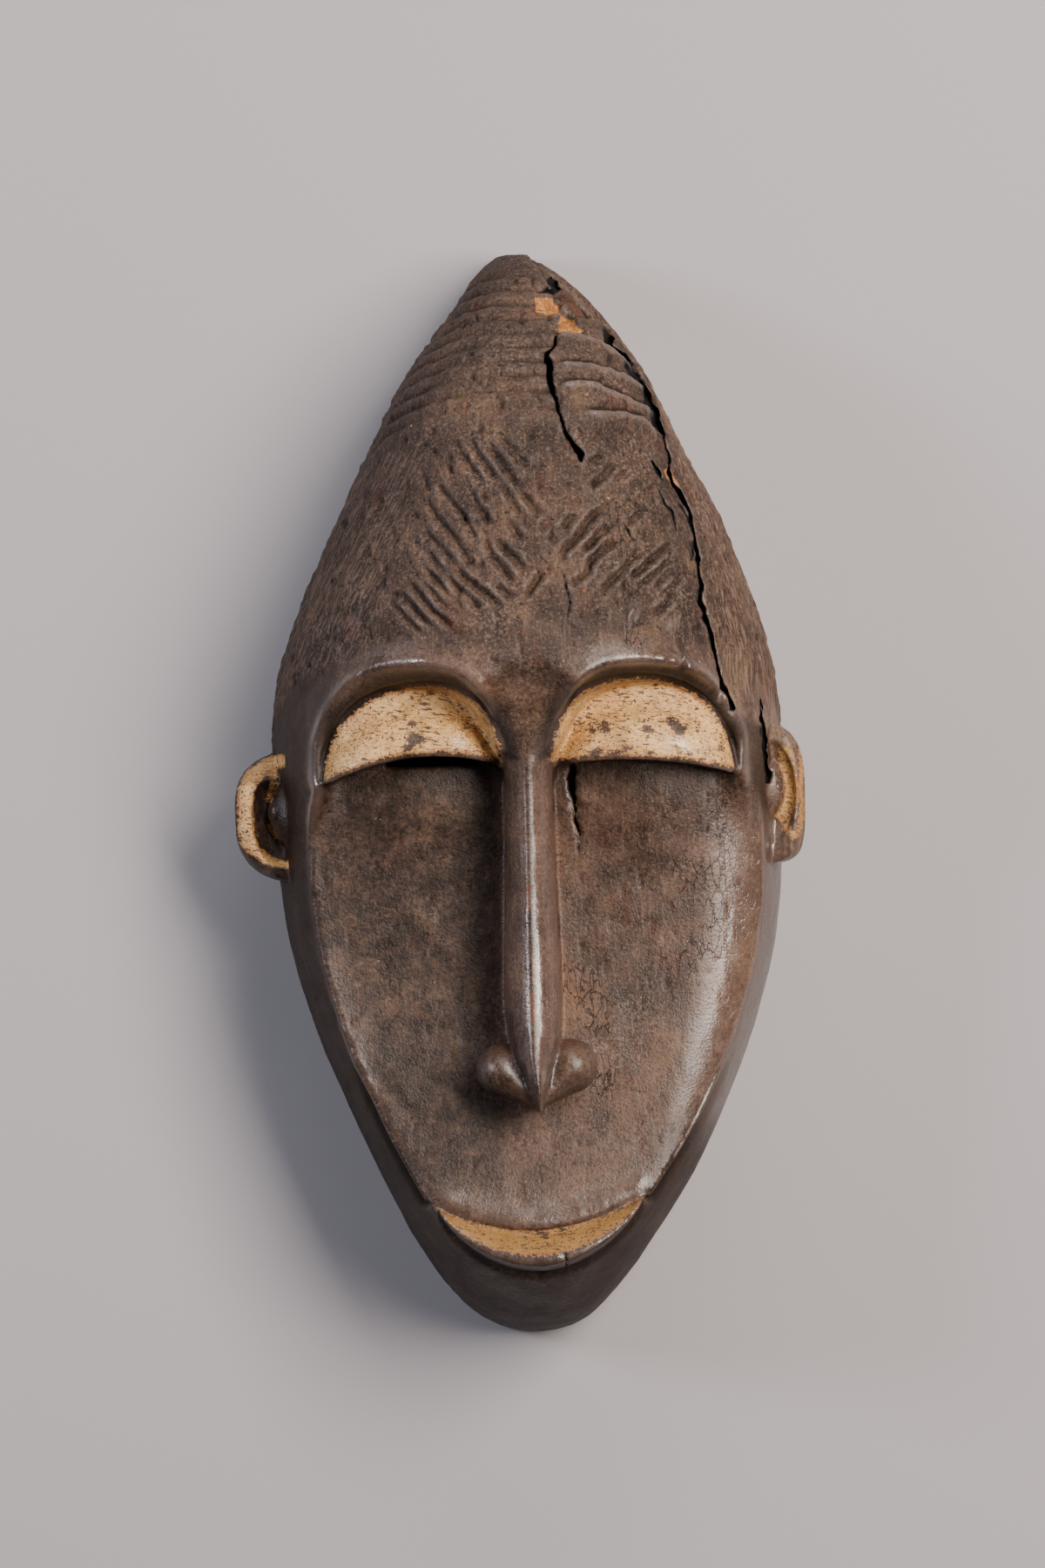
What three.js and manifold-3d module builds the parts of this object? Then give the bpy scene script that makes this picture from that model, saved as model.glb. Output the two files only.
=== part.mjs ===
// Carved wooden face mask with a tall ridged coiffure, lying face up on its flat rim.
// Millimetres, +Z up out of the face, +Y towards the crown, +X to the viewer's right.
import * as THREE from 'three';
import { mergeVertices } from 'three/addons/utils/BufferGeometryUtils.js';
import Module from 'manifold-3d';

const wasm = await Module();
wasm.setup();

// Overall form
const halfLength = 170;
const sectionPower = 2.4;
const headColumns = 24;
const leftWidth = [
  [-170, 0], [-166, 15.3], [-155, 27.7], [-140, 37.8], [-120, 48.1], [-100, 57.3], [-70, 69.1],
  [-40, 77.0], [0, 80.2], [30, 79.6], [50, 74.8], [80, 62.0], [108, 47.8], [130, 36.8], [150, 22.0],
  [163, 12.8], [170, 0],
];
const rightWidth = [
  [-170, 0], [-166, 14.4], [-155, 26.0], [-140, 37.1], [-120, 49.8], [-100, 59.9], [-70, 71.5],
  [-40, 78.4], [0, 80.4], [30, 79.6], [50, 75.7], [80, 65.2], [108, 51.9], [130, 41.3], [150, 28.0],
  [163, 15.5], [170, 0],
];
const domeHeight = [
  [-170, 0], [-167, 22], [-162, 40], [-154, 57], [-146, 68], [-138, 80], [-126, 92], [-110, 97],
  [-85, 101], [-50, 103], [0, 102], [45, 100], [80, 95], [110, 87], [135, 73], [155, 51], [165, 32],
  [170, 0],
];

// Hollow behind the face: the outline drawn in, under a roof of its own
const hollowAcross = 0.862;
const hollowAlong = 0.915;
const hollowPower = 3;
const hollowBelowRim = 4;
const hollowRoof = [
  [-156, 0], [-150, 16], [-140, 34], [-125, 45], [-100, 50], [-50, 47], [0, 47], [20, 54], [50, 71],
  [80, 72], [110, 62], [130, 46], [146, 24], [156, 0],
];

// Hairline, hair and the ridged cap above it, measured along the outline of the rim
const hairlineAt = 15;
const hairRise = 0.9;
const capFrom = 95;
const ridgePitch = 5.7;
const ridgeCount = 12;
const ridgeHeight = 2.0;
const rowDroop = [[-60, 0], [15, 0.37], [60, 0.3], [95, 0.22], [170, 0.2]];

// Face plane, brows and nose
const facePlane = [
  [-170, 110], [-150, 86], [-142, 79], [-134, 73.5], [-125, 70.5], [-100, 65.5], [-50, 61], [0, 62],
  [50, 64],
];
const browHeight = 41;
const brows = [
  { centre: -36.8, inner: 29.3, outer: 29.6 },
  { centre: 36.6, inner: 29.0, outer: 31.6 },
];
const browOuterPower = 2.3;
const browInnerPower = 3;
const socketFloor = 77;
const faceEdge = 0.84;
const faceEdgeRise = 4.2;
const bridgeLine = [[4, 87], [14, 89.6], [24, 93.2], [34, 97.2], [44, 100.2], [54, 101.6]];
const bridgeHalf = 14;
const bridgeSpread = [[10, -0.06], [20, -0.045], [34, 0.01], [44, 0.035], [54, 0.035]];
const noseRidge = [[-97, 91], [-91, 94.5], [-50, 90], [0, 88], [16, 90], [30, 92]];
const noseHalfWidth = [[-97, 2], [-91, 6], [-72, 8.4], [-50, 7.8], [0, 7.1], [14, 8], [30, 12]];
const noseBase = 56;
const nostrils = [
  { centre: [-9.6, -84.5, 77], radii: [8.3, 8.0, 13] },
  { centre: [11.2, -83.0, 77], radii: [8.6, 8.8, 13.5] },
];

// Heavy upper lids: plan of each crescent and the height of its swell
const lids = [
  { centre: -35.1, half: 27.8, startY: 3.8, endY: 8.9, rise: 5.7, arch: 26, slotY: 9.3, slotShift: 0 },
  { centre: 35.5, half: 28.4, startY: 8.6, endY: 5.4, rise: 3.0, arch: 26.5, slotY: 8.2, slotShift: 6 },
];
const lidArchPower = 2.2;
const lidUnderside = 56;
const lidEdge = 80.5;
const lidSwell = 4.5;
const lidEndDrop = 9;

// Mouth: upper edge, painted lower lip and its margin
const mouthCentre = 1.7;
const mouthHalf = 32;
const mouthCornerY = -125;
const mouthSag = 9.2;
const lipSag = 21.2;
const mouthFloor = 69.5;
const lipCrest = 79.5;

// Ears, each a cupped disc standing out from the side of the head
const ears = [
  { side: -1, reach: 91.5, root: 66, centreY: -5.4, halfY: 20.8, rim: 44, rimWidth: 5.3 },
  { side: 1, reach: 86.4, root: 66, centreY: -0.7, halfY: 22.6, rim: 46, rimWidth: 2.2 },
];
const earBowlDepth = 8;
const earUpperPower = 3.2;
const earLowerPower = 5;
const earUnderside = 25;

// Herringbone: straight strokes either side of the spine, by their offset from it
const strokeWidth = 2.4;
const strokeDepth = 1.8;
const strokeFamilies = [
  { angle: 127.5, offset: 57, pitch: -5.1, count: 6, from: 65, fromStep: 1.6, long: 27, longStep: -2 },
  { angle: 127.5, offset: 42, pitch: -5.1, count: 8, from: 52, fromStep: 0.8, long: 12, longStep: 0.4 },
  { angle: 45, offset: 53, pitch: -4.4, count: 7, from: 72, fromStep: -2.6, long: 18, longStep: -1 },
  { angle: 45, offset: 26, pitch: -4, count: 5, from: 71, fromStep: -1.2, long: 11, longStep: -0.3 },
];

// Drying cracks: path over the surface, half width and depth
const cracks = [
  { path: [[12, 141], [8, 135], [8.5, 126], [11.6, 120], [13.5, 110], [17.3, 102]], half: 0.9, depth: 8 },
  { path: [[13, 158], [24, 148], [30.5, 139], [37, 131], [40.5, 122], [43.3, 111]], half: 1.3, depth: 8 },
  { path: [[43.3, 111], [46, 98.8], [51, 88], [53.4, 72], [56.9, 45], [62.7, 26]], half: 0.5, depth: 5 },
  { path: [[14.1, 8.5], [15, 0], [14.4, -8], [16.6, -16]], half: 0.7, depth: 5 },
  { path: [[73.4, 26], [74, 16.7], [75.2, 2]], half: 0.5, depth: 4 },
];

// Smooth curve through a few (place, value) pairs
function curveThrough(points) {
  const slopes = points.map((point, i) => {
    const before = points[Math.max(i - 1, 0)];
    const after = points[Math.min(i + 1, points.length - 1)];
    return (after[1] - before[1]) / (after[0] - before[0]);
  });
  return (place) => {
    const at = THREE.MathUtils.clamp(place, points[0][0], points.at(-1)[0]);
    let i = 0;
    while (i < points.length - 2 && at > points[i + 1][0]) i += 1;
    const [start, startValue] = points[i];
    const [end, endValue] = points[i + 1];
    const span = end - start;
    const t = (at - start) / span;
    const startWeight = (1 + 2 * t) * (1 - t) ** 2;
    const slopePart = slopes[i] * t * (1 - t) ** 2 - slopes[i + 1] * t * t * (1 - t);
    return startValue * startWeight + endValue * (1 - startWeight) + span * slopePart;
  };
}

// The same, spaced by angle round a circle, so that the value drops away roundly at both ends
function roundedCurveThrough(points) {
  const half = points.at(-1)[0];
  const angle = (place) => Math.asin(THREE.MathUtils.clamp(place / half, -1, 1));
  const curve = curveThrough(points.map(([place, value]) => [angle(place), value]));
  return (place) => Math.max(curve(angle(place)), 0);
}

const leftHalf = roundedCurveThrough(leftWidth);
const rightHalf = roundedCurveThrough(rightWidth);
const height = roundedCurveThrough(domeHeight);
const roof = roundedCurveThrough(hollowRoof);
const droop = curveThrough(rowDroop);
const planeHeight = curveThrough(facePlane);
const bridge = curveThrough(bridgeLine);
const bridgeCurl = curveThrough(bridgeSpread);
const ridgeLine = curveThrough(noseRidge);
const noseHalf = curveThrough(noseHalfWidth);

const lerp = THREE.MathUtils.lerp;
const evenly = (count, from = 0, to = 1) => (
  Array.from({ length: count + 1 }, (_, i) => lerp(from, to, i / count))
);
const fullness = (value, power) => Math.max(1 - Math.abs(value) ** power, 0) ** (1 / power);
const halfWidth = (x, y) => (x < 0 ? leftHalf(y) : rightHalf(y));
const domeAt = (x, y) => height(y) * fullness(Math.min(Math.abs(x) / halfWidth(x, y), 1), sectionPower);

// A closed triangle mesh as a solid: shared corners merged, empty triangles dropped, faces outward
function toSolid(geometry) {
  const bare = geometry.clone();
  bare.deleteAttribute('normal');
  bare.deleteAttribute('uv');
  const merged = mergeVertices(bare, 1e-4);
  const positions = merged.attributes.position.array;
  const corner = (i) => new THREE.Vector3().fromArray(positions, i * 3);
  const triangles = [];
  let volume = 0;
  for (let i = 0; i < merged.index.count; i += 3) {
    const [a, b, c] = [0, 1, 2].map((k) => merged.index.getX(i + k));
    if (a !== b && b !== c && c !== a) {
      triangles.push(a, b, c);
      volume += corner(a).dot(corner(b).cross(corner(c)));
    }
  }
  const triVerts = new Uint32Array(volume < 0 ? triangles.reverse() : triangles);
  return new wasm.Manifold(new wasm.Mesh({ numProp: 3, vertProperties: positions, triVerts }));
}

function fromPositions(positions) {
  const geometry = new THREE.BufferGeometry();
  geometry.setAttribute('position', new THREE.Float32BufferAttribute(positions, 3));
  return geometry;
}

// Two triangles for each cell of a grid of points
function gridTriangles(rows, flipped = false) {
  const positions = [];
  for (let i = 0; i < rows.length - 1; i += 1) {
    for (let j = 0; j < rows[i].length - 1; j += 1) {
      const [a, b, c, d] = [rows[i][j], rows[i + 1][j], rows[i + 1][j + 1], rows[i][j + 1]];
      const order = flipped ? [a, c, b, a, d, c] : [a, b, c, a, c, d];
      order.forEach((point) => positions.push(...point));
    }
  }
  return positions;
}

// Closed body through a run of closed rings, with each end ring filled from its middle
function loft(rings) {
  const closed = rings.map((ring) => [...ring, ring[0]]);
  const positions = gridTriangles(closed);
  [rings[0], rings.at(-1)].forEach((ring, end) => {
    const middle = [0, 1, 2].map((k) => ring.reduce((sum, point) => sum + point[k], 0) / ring.length);
    ring.forEach((point, i) => {
      const next = ring[(i + 1) % ring.length];
      const order = end === 0 ? [point, next, middle] : [next, point, middle];
      order.forEach((place) => positions.push(...place));
    });
  });
  return toSolid(fromPositions(positions));
}

// Closed body over a patch of the plan, between a lower and an upper surface
function slab(along, across, place, lower, upper) {
  const surface = (level) => along.map((s) => across.map((t) => {
    const [x, y] = place(s, t);
    return [x, y, level(x, y, s, t)];
  }));
  const low = surface(lower);
  const high = surface(upper);
  const column = (rows, j) => rows.map((row) => row[j]);
  const last = across.length - 1;
  return toSolid(fromPositions([
    ...gridTriangles(low, true),
    ...gridTriangles(high),
    ...gridTriangles([low[0], high[0]]),
    ...gridTriangles([low.at(-1), high.at(-1)], true),
    ...gridTriangles([column(low, 0), column(high, 0)], true),
    ...gridTriangles([column(low, last), column(high, last)]),
  ]));
}

// Place along the midline where a row that starts at the rim crosses this part of the section
function rowPlace(rimPlace, share) {
  let low = rimPlace;
  let high = halfLength;
  for (let i = 0; i < 40; i += 1) {
    const middle = (low + high) / 2;
    if (middle - droop(rimPlace) * height(middle) * share < rimPlace) low = middle;
    else high = middle;
  }
  return (low + high) / 2;
}

// One arched row of the head, raised from the plain dome by the thickness of the hair
function headRow(rimPlace, raise) {
  return evenly(headColumns, 0, Math.PI).map((turn) => {
    const share = Math.sin(turn) ** (2 / sectionPower);
    const y = rowPlace(rimPlace, share);
    const reach = Math.abs(Math.cos(turn)) ** (2 / sectionPower);
    const side = Math.sign(Math.PI / 2 - turn);
    const width = halfWidth(-side, y);
    const tall = height(y);
    const outX = reach ** (sectionPower - 1) / Math.max(width, 1);
    const outZ = share ** (sectionPower - 1) / Math.max(tall, 1);
    const lift = raise / Math.hypot(outX, outZ);
    return [-side * (reach * width + lift * outX), y, share * tall + lift * outZ];
  });
}

function head() {
  const chinRows = evenly(12, 0, Math.PI / 2).map((turn) => [-halfLength * Math.cos(turn), 0]);
  const hairRows = [
    [hairlineAt - 1.5, 0], [hairlineAt, hairRise],
    ...evenly(4, hairlineAt + 18, capFrom - 8).map((place) => [place, hairRise]),
    [capFrom - 1.5, 0.2],
  ];
  const capRows = evenly(ridgeCount - 1, 0, ridgeCount - 1).flatMap((ridge) => {
    const start = capFrom + ridge * ridgePitch;
    const fade = 1 - 0.5 * ridge / ridgeCount;
    return [
      [start + 0.25 * ridgePitch, ridgeHeight * fade],
      [start + 0.7 * ridgePitch, ridgeHeight * fade * 0.85],
      [start + ridgePitch, ridgeHeight * fade * 0.25],
    ];
  });
  const tipRows = [[166.5, 0.5], [168.8, 0], [halfLength, 0]];
  const rows = [...chinRows, ...hairRows, ...capRows, ...tipRows];
  return loft(rows.map(([place, raise]) => headRow(place, raise)));
}

function hollow() {
  const reach = halfLength * hollowAlong;
  const rings = evenly(18, -Math.PI / 2, Math.PI / 2).map((turn) => {
    const y = reach * Math.sin(turn);
    const outer = y / hollowAlong;
    const arch = evenly(14, 0, Math.PI).map((around) => {
      const side = -Math.cos(around);
      const across = Math.sign(side) * Math.abs(side) ** (2 / hollowPower);
      const width = hollowAcross * halfWidth(side, outer);
      return [across * width, y, roof(y) * Math.sin(around) ** (2 / hollowPower)];
    });
    const [first, last] = [arch[0], arch.at(-1)];
    return [[first[0], y, -hollowBelowRim], ...arch, [last[0], y, -hollowBelowRim]];
  });
  return loft(rings);
}

// Underside of the brow arches above the sockets
function browLine(x) {
  const brow = x < 0 ? brows[0] : brows[1];
  const inward = (x - brow.centre) * Math.sign(brow.centre) < 0;
  const half = inward ? brow.inner : brow.outer;
  return browHeight * fullness((x - brow.centre) / half, inward ? browInnerPower : browOuterPower);
}

// The face is a shallow plane that lifts a little to meet the side of the head
function faceAt(x, y) {
  const edge = Math.abs(x) / (faceEdge * Math.max(halfWidth(x, y), 20));
  const rise = faceEdgeRise * THREE.MathUtils.smoothstep(y, -130, -70);
  return planeHeight(y) + rise * Math.min(edge, 1.1) ** 6;
}

function lidLine(lid, s) {
  return lerp(lid.startY, lid.endY, (s + 1) / 2) + lid.rise * (1 - s * s);
}

// Everything in front of the face plane and the eye sockets is cut away
function frontCut() {
  const columns = [
    ...evenly(5, -84, -62), ...evenly(6, -58, -12), -7.6, 7.6, ...evenly(6, 12, 58), ...evenly(5, 62, 84),
  ];
  const rows = [...evenly(10, 0, 0.74), 0.78, 0.82, 0.86, 0.9, 0.94, 0.97, 1];
  const bottomY = -150;
  const topOf = (x) => Math.max(browLine(x), Math.abs(x) < 8 ? 12 : 0);
  const place = (s, t) => [s, lerp(bottomY, topOf(s), t)];
  const floor = (x, y) => {
    const socket = THREE.MathUtils.smoothstep(y, 12, 22);
    const fall = 6 * (Math.abs(x) / 66) ** 3;
    return lerp(faceAt(x, y), socketFloor - fall, socket);
  };
  return slab(columns, rows, place, floor, () => 125);
}

// The forehead dips between the brows to run out on the nose
function bridgeCut() {
  const across = [-26, -20, -14, -8, -3, 3, 8, 14, 20, 26];
  const place = (s, t) => [s, t];
  const floor = (x, y) => bridge(y) + bridgeCurl(y) * Math.min(Math.abs(x), bridgeHalf) ** 2;
  return slab(across, evenly(8, 6, 54), place, floor, () => 125);
}

function nose() {
  const stations = [-97, -94, -89, -80, -65, -45, -20, 0, 10, 20, 30];
  return loft(stations.map((y) => {
    const half = noseHalf(y);
    const top = ridgeLine(y);
    const flank = lerp(noseBase, top, 0.72);
    return [
      [-half, y, noseBase], [-half * 0.96, y, flank], [-half * 0.62, y, top - 3.2], [0, y, top],
      [half * 0.62, y, top - 3.2], [half * 0.96, y, flank], [half, y, noseBase],
    ];
  }));
}

function upperLid(lid) {
  const along = [-1, -0.93, -0.8, -0.6, -0.35, -0.1, 0.15, 0.4, 0.62, 0.8, 0.93, 1];
  const across = [0, 0.12, 0.35, 0.65, 1];
  const place = (s, t) => {
    const lower = lidLine(lid, s);
    const upper = lerp(lid.startY, lid.endY, (s + 1) / 2) + lid.arch * fullness(s, lidArchPower);
    return [lid.centre + s * lid.half, lerp(lower, upper, t)];
  };
  const top = (x, y, s, t) => {
    const swell = lidSwell * Math.sin(Math.PI * Math.min(t * 1.35 + 0.12, 1)) * (1 - s ** 4);
    return lidEdge - lidEndDrop * Math.abs(s) ** 3 - 2.5 * t + swell;
  };
  return slab(along, across, place, () => lidUnderside, top);
}

// Narrow sight slot under a lid, leaning back behind it by the given shift
function sightSlot(lid) {
  const along = evenly(6, -0.62, 0.72);
  const steps = evenly(3);
  const rings = along.map((s) => {
    const x = lid.centre + s * lid.half;
    const low = lid.slotY;
    const high = Math.max(lidLine(lid, s) + (lid.slotShift ? 0.4 : 0), low + 0.1);
    const level = (t) => lerp(20, lidUnderside + (lid.slotShift ? 0 : 14), t);
    const lean = (t) => lid.slotShift * (1 - t);
    return [
      ...steps.map((t) => [x, low + lean(t), level(t)]),
      ...steps.toReversed().map((t) => [x, high + lean(t), level(t)]),
    ];
  });
  return loft(rings);
}

const mouthLine = (s) => mouthCornerY - mouthSag * (1 - s * s);
const lipLine = (s) => mouthCornerY - lipSag * (1 - s * s) ** 0.75;

function mouthPlace(s, t) {
  return [mouthCentre + s * mouthHalf, lerp(mouthLine(s), lipLine(s), t)];
}

function mouthCut() {
  return slab(evenly(12, -0.98, 0.98), evenly(2, 0, 0.9), mouthPlace, () => mouthFloor, () => 110);
}

function lowerLip() {
  const across = [-0.4, 0, 0.35, 0.65, 0.85, 1];
  const top = (x, y, s, t) => {
    const climb = Math.sin(Math.PI / 2 * THREE.MathUtils.clamp(t / 0.8, 0, 1));
    const margin = 3.5 * THREE.MathUtils.clamp((t - 0.82) / 0.18, 0, 1);
    return lerp(mouthFloor + 1, lipCrest - 5 * s * s, climb) - margin;
  };
  const tucked = (x, y, s, t) => (t < 0 ? mouthFloor - 4 : top(x, y, s, t));
  return slab(evenly(14, -1, 1), across, mouthPlace, () => 50, tucked);
}

function ear({ side, reach, root, centreY, halfY, rim }) {
  const along = [-1, -0.97, -0.88, -0.7, -0.4, 0, 0.4, 0.7, 0.88, 0.97, 1];
  const place = (s, t) => {
    const outer = (reach - root) * fullness(s, s > 0 ? earUpperPower : earLowerPower);
    return [side * (root + outer * t), centreY + s * halfY];
  };
  const top = (x, y, s, t) => rim - 3 * Math.max(t - 0.85, 0) / 0.15 - 2 * s * s;
  const under = (x, y, s, t) => earUnderside + 7 * t;
  return slab(along, [0, 0.85, 1], place, under, top);
}

function scaledBall(radii, centre, columns, rows) {
  const ball = new THREE.SphereGeometry(1, columns, rows);
  ball.rotateX(Math.PI / 2);
  ball.scale(...radii);
  ball.translate(...centre);
  return toSolid(ball);
}

function earBowl({ side, reach, centreY, halfY, rim, rimWidth }) {
  const across = 9;
  const centre = [side * (reach - rimWidth - across), centreY, rim];
  return scaledBall([across, halfY * 0.76, earBowlDepth], centre, 16, 8);
}

function tragus({ side, centreY, rim }) {
  return scaledBall([5, 10.5, 7], [side * 74.5, centreY + 0.5, rim - 6], 10, 8);
}

// V-shaped furrow that follows a path over the dome and runs out at both ends
function furrow(path, half, depth) {
  const curve = new THREE.CatmullRomCurve3(path.map(([x, y]) => new THREE.Vector3(x, y, 0)));
  const pieces = path.length === 2 ? 3 : (path.length - 1) * 2;
  const place = (s, t) => {
    const point = curve.getPoint(s);
    const ahead = curve.getTangent(s);
    const width = half * Math.max(Math.sin(Math.PI * s) ** 0.5, 0.15) * t;
    return [point.x + ahead.y * width, point.y - ahead.x * width];
  };
  const floor = (x, y, s, t) => {
    const taper = Math.sin(Math.PI * s) ** 0.5;
    return domeAt(x, y) + (t === 0 ? -depth * taper : 2.4);
  };
  const frontOf = (x, y) => domeAt(x, y) + 6;
  return slab(evenly(pieces), [-1, 0, 1], place, floor, frontOf);
}

function herringbone() {
  return strokeFamilies.flatMap((family) => {
    const turn = THREE.MathUtils.degToRad(family.angle);
    const run = [Math.cos(turn), Math.sin(turn)];
    const facing = Math.sign(Math.PI / 2 - turn);
    const spread = [-run[1] * facing, run[0] * facing];
    return evenly(family.count - 1, 0, family.count - 1).map((i) => {
      const offset = family.offset + family.pitch * i;
      const from = family.from + family.fromStep * i;
      const to = from + family.long + family.longStep * i;
      const path = [from, to].map((u) => [0, 1].map((k) => spread[k] * offset + run[k] * u));
      return furrow(path, strokeWidth / 2, strokeDepth);
    });
  });
}

// A crack in the sunken face starts from the face plane instead of the dome
function faceCrack(path, half, depth) {
  const place = (s, t) => {
    const at = s * (path.length - 1);
    const i = Math.min(Math.floor(at), path.length - 2);
    const [x, y] = [0, 1].map((k) => lerp(path[i][k], path[i + 1][k], at - i));
    return [x + half * t * Math.max(1 - (2 * s - 1) ** 4, 0.15), y];
  };
  const floor = (x, y, s, t) => planeHeight(y) + (t === 0 ? -depth : 1);
  return slab(evenly(6), [-1, 0, 1], place, floor, () => 78);
}

function carvedMask() {
  let body = head().subtract(frontCut()).subtract(bridgeCut());
  body = body.add(nose());
  nostrils.forEach(({ radii, centre }) => { body = body.add(scaledBall(radii, centre, 14, 10)); });
  body = body.subtract(mouthCut()).add(lowerLip());
  lids.forEach((lid) => { body = body.add(upperLid(lid)); });
  ears.forEach((one) => { body = body.add(ear(one).subtract(earBowl(one))).add(tragus(one)); });
  herringbone().forEach((stroke) => { body = body.subtract(stroke); });
  cracks.forEach(({ path, half, depth }) => {
    const sunken = path[0][1] < 10;
    body = body.subtract(sunken ? faceCrack(path, half, depth) : furrow(path, half, depth));
  });
  body = body.subtract(hollow());
  lids.forEach((lid) => { body = body.subtract(sightSlot(lid)); });
  return body;
}

function toGeometry(solid) {
  const mesh = solid.getMesh();
  const geometry = new THREE.BufferGeometry();
  geometry.setAttribute('position', new THREE.Float32BufferAttribute(mesh.vertProperties, 3));
  geometry.setIndex(Array.from(mesh.triVerts));
  geometry.computeVertexNormals();
  return geometry;
}

const darkWood = new THREE.MeshStandardMaterial({ color: 0x5b463d, roughness: 0.62, metalness: 0 });
const mask = new THREE.Mesh(toGeometry(carvedMask()), darkWood);
mask.name = 'mask';

// The middle of the ears' span stands over the origin
mask.position.x = (ears[0].reach - ears[1].reach) / 2;

const group = new THREE.Group();
group.add(mask);

export default group;
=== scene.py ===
"""Carved wooden face mask with a tall ridged coiffure, lying face up on its rim.

The sculpting is done in millimetres, in plan: X to the viewer's right, Y to the crown, Z out of the face.
The finished mesh is in metres, where the CAD solid stands.
"""
import itertools
import math

import bmesh
import bpy
import numpy as np
from mathutils import Matrix, Vector


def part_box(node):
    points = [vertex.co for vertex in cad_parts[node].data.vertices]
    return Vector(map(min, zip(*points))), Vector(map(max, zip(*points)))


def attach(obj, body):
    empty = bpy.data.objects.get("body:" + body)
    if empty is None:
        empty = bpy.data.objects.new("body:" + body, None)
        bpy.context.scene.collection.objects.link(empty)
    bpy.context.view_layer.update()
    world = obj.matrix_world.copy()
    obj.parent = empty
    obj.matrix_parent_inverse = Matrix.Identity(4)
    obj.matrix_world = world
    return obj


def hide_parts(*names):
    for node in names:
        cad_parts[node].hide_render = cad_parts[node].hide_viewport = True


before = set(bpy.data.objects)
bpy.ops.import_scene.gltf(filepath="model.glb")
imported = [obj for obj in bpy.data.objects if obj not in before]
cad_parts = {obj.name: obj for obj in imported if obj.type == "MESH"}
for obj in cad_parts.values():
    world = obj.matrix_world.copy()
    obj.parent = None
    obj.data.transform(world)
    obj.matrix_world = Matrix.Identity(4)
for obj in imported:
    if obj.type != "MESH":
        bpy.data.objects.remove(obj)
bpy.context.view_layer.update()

solid_low, solid_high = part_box("mask")

METRE = 1000.0
MM = 1 / METRE
HALF_LENGTH = (solid_high.y - solid_low.y) / 2 * METRE

# How finely the block is sculpted, and how many triangles the finished piece keeps
GRAIN_OF_MESH = 0.6
TRIANGLES_KEPT = 194000
INSIDE_KEPT = 0.06

# Overall form
SECTION_POWER = 2.4
LEFT_WIDTH = [
    (-170, 0), (-166, 15.3), (-155, 27.7), (-140, 37.8), (-120, 48.1), (-100, 57.3), (-70, 69.1),
    (-40, 77.0), (0, 80.2), (30, 79.6), (50, 74.8), (80, 62.0), (108, 47.8), (130, 36.8), (150, 22.0),
    (163, 12.8), (170, 0),
]
RIGHT_WIDTH = [
    (-170, 0), (-166, 14.4), (-155, 26.0), (-140, 37.1), (-120, 49.8), (-100, 59.9), (-70, 71.5),
    (-40, 78.4), (0, 80.4), (30, 79.6), (50, 75.7), (80, 65.2), (108, 51.9), (130, 41.3), (150, 28.0),
    (163, 15.5), (170, 0),
]
DOME_HEIGHT = [
    (-170, 0), (-167, 22), (-162, 40), (-154, 57), (-146, 68), (-138, 80), (-126, 92), (-110, 97),
    (-85, 101), (-50, 103), (0, 102), (45, 100), (80, 95), (110, 87), (135, 73), (155, 51), (165, 32),
    (170, 0),
]
HEAD_DEPTH = 103

# Hollow behind the face
HOLLOW_ACROSS = 0.862
HOLLOW_ALONG = 0.915
HOLLOW_POWER = 3
HOLLOW_ROOF = [
    (-156, 0), (-150, 16), (-140, 34), (-125, 45), (-100, 50), (-50, 47), (0, 47), (20, 54), (50, 71),
    (80, 72), (110, 62), (130, 46), (146, 24), (156, 0),
]

# Hairline, hair and the ridged cap above it, measured along the outline of the rim
HAIRLINE_AT = 15
HAIR_RISE = 0.55
CAP_FROM = 95
RIDGE_PITCH = 5.7
RIDGE_COUNT = 10.4
CAP_RISE = 0.7
GROOVE_DEPTH = 1.75
LEDGE_HEIGHT = 1.5
ROW_DROOP = [(-60, 0), (15, 0.37), (60, 0.3), (95, 0.22), (170, 0.2)]

# Face plane, brows and nose
FACE_PLANE = [
    (-170, 110), (-150, 86), (-142, 79), (-134, 73.5), (-125, 70.5), (-100, 65.5), (-50, 61), (0, 62),
    (50, 64),
]
BROW_HEIGHT = 41
BROWS = [
    {"centre": -36.8, "inner": 29.3, "outer": 29.6},
    {"centre": 36.6, "inner": 29.0, "outer": 31.6},
]
BROW_OUTER_POWER = 2.3
BROW_INNER_POWER = 3
SOCKET_FLOOR = 77
FACE_EDGE = 0.84
EDGE_RISES = (1.2, 0.0)
EDGE_RISE_POWER = 8
RIGHT_CHEEK_FALL = 0.0008
RIGHT_CHEEK_FROM = 14
RIGHT_EDGE_ROLL = 3.4
EYE_CORNER_FILL = 11
BRIDGE_LINE = [(4, 87), (14, 89.6), (24, 93.2), (34, 97.2), (44, 100.2), (54, 101.6)]
BRIDGE_HALF = 14
BRIDGE_SPREAD = [(10, -0.06), (20, -0.045), (34, 0.01), (44, 0.035), (54, 0.035)]
NOSE_RIDGE = [(-97, 91), (-91, 94.5), (-50, 90), (0, 88), (16, 90), (30, 92)]
NOSE_HALF_WIDTH = [
    (-97.5, 0.6), (-94, 1.6), (-90.5, 3.2), (-86, 4.9), (-80, 6.9), (-72, 8.1), (-62, 8.6), (-50, 8.3),
    (0, 7.3), (14, 8), (30, 12),
]
NOSE_MIDDLE = [(-97.5, 2.0), (-90, 1.4), (-80, 0.6), (0, 0.3), (30, 0.3)]
NOSE_FACET = 8.5
NOSE_FLAT = 0.2
NOSE_ROUNDING = {"left": 0.06, "right": 0.17}
NOSE_BASE = 56
NOSE_ROOT = 30
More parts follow.
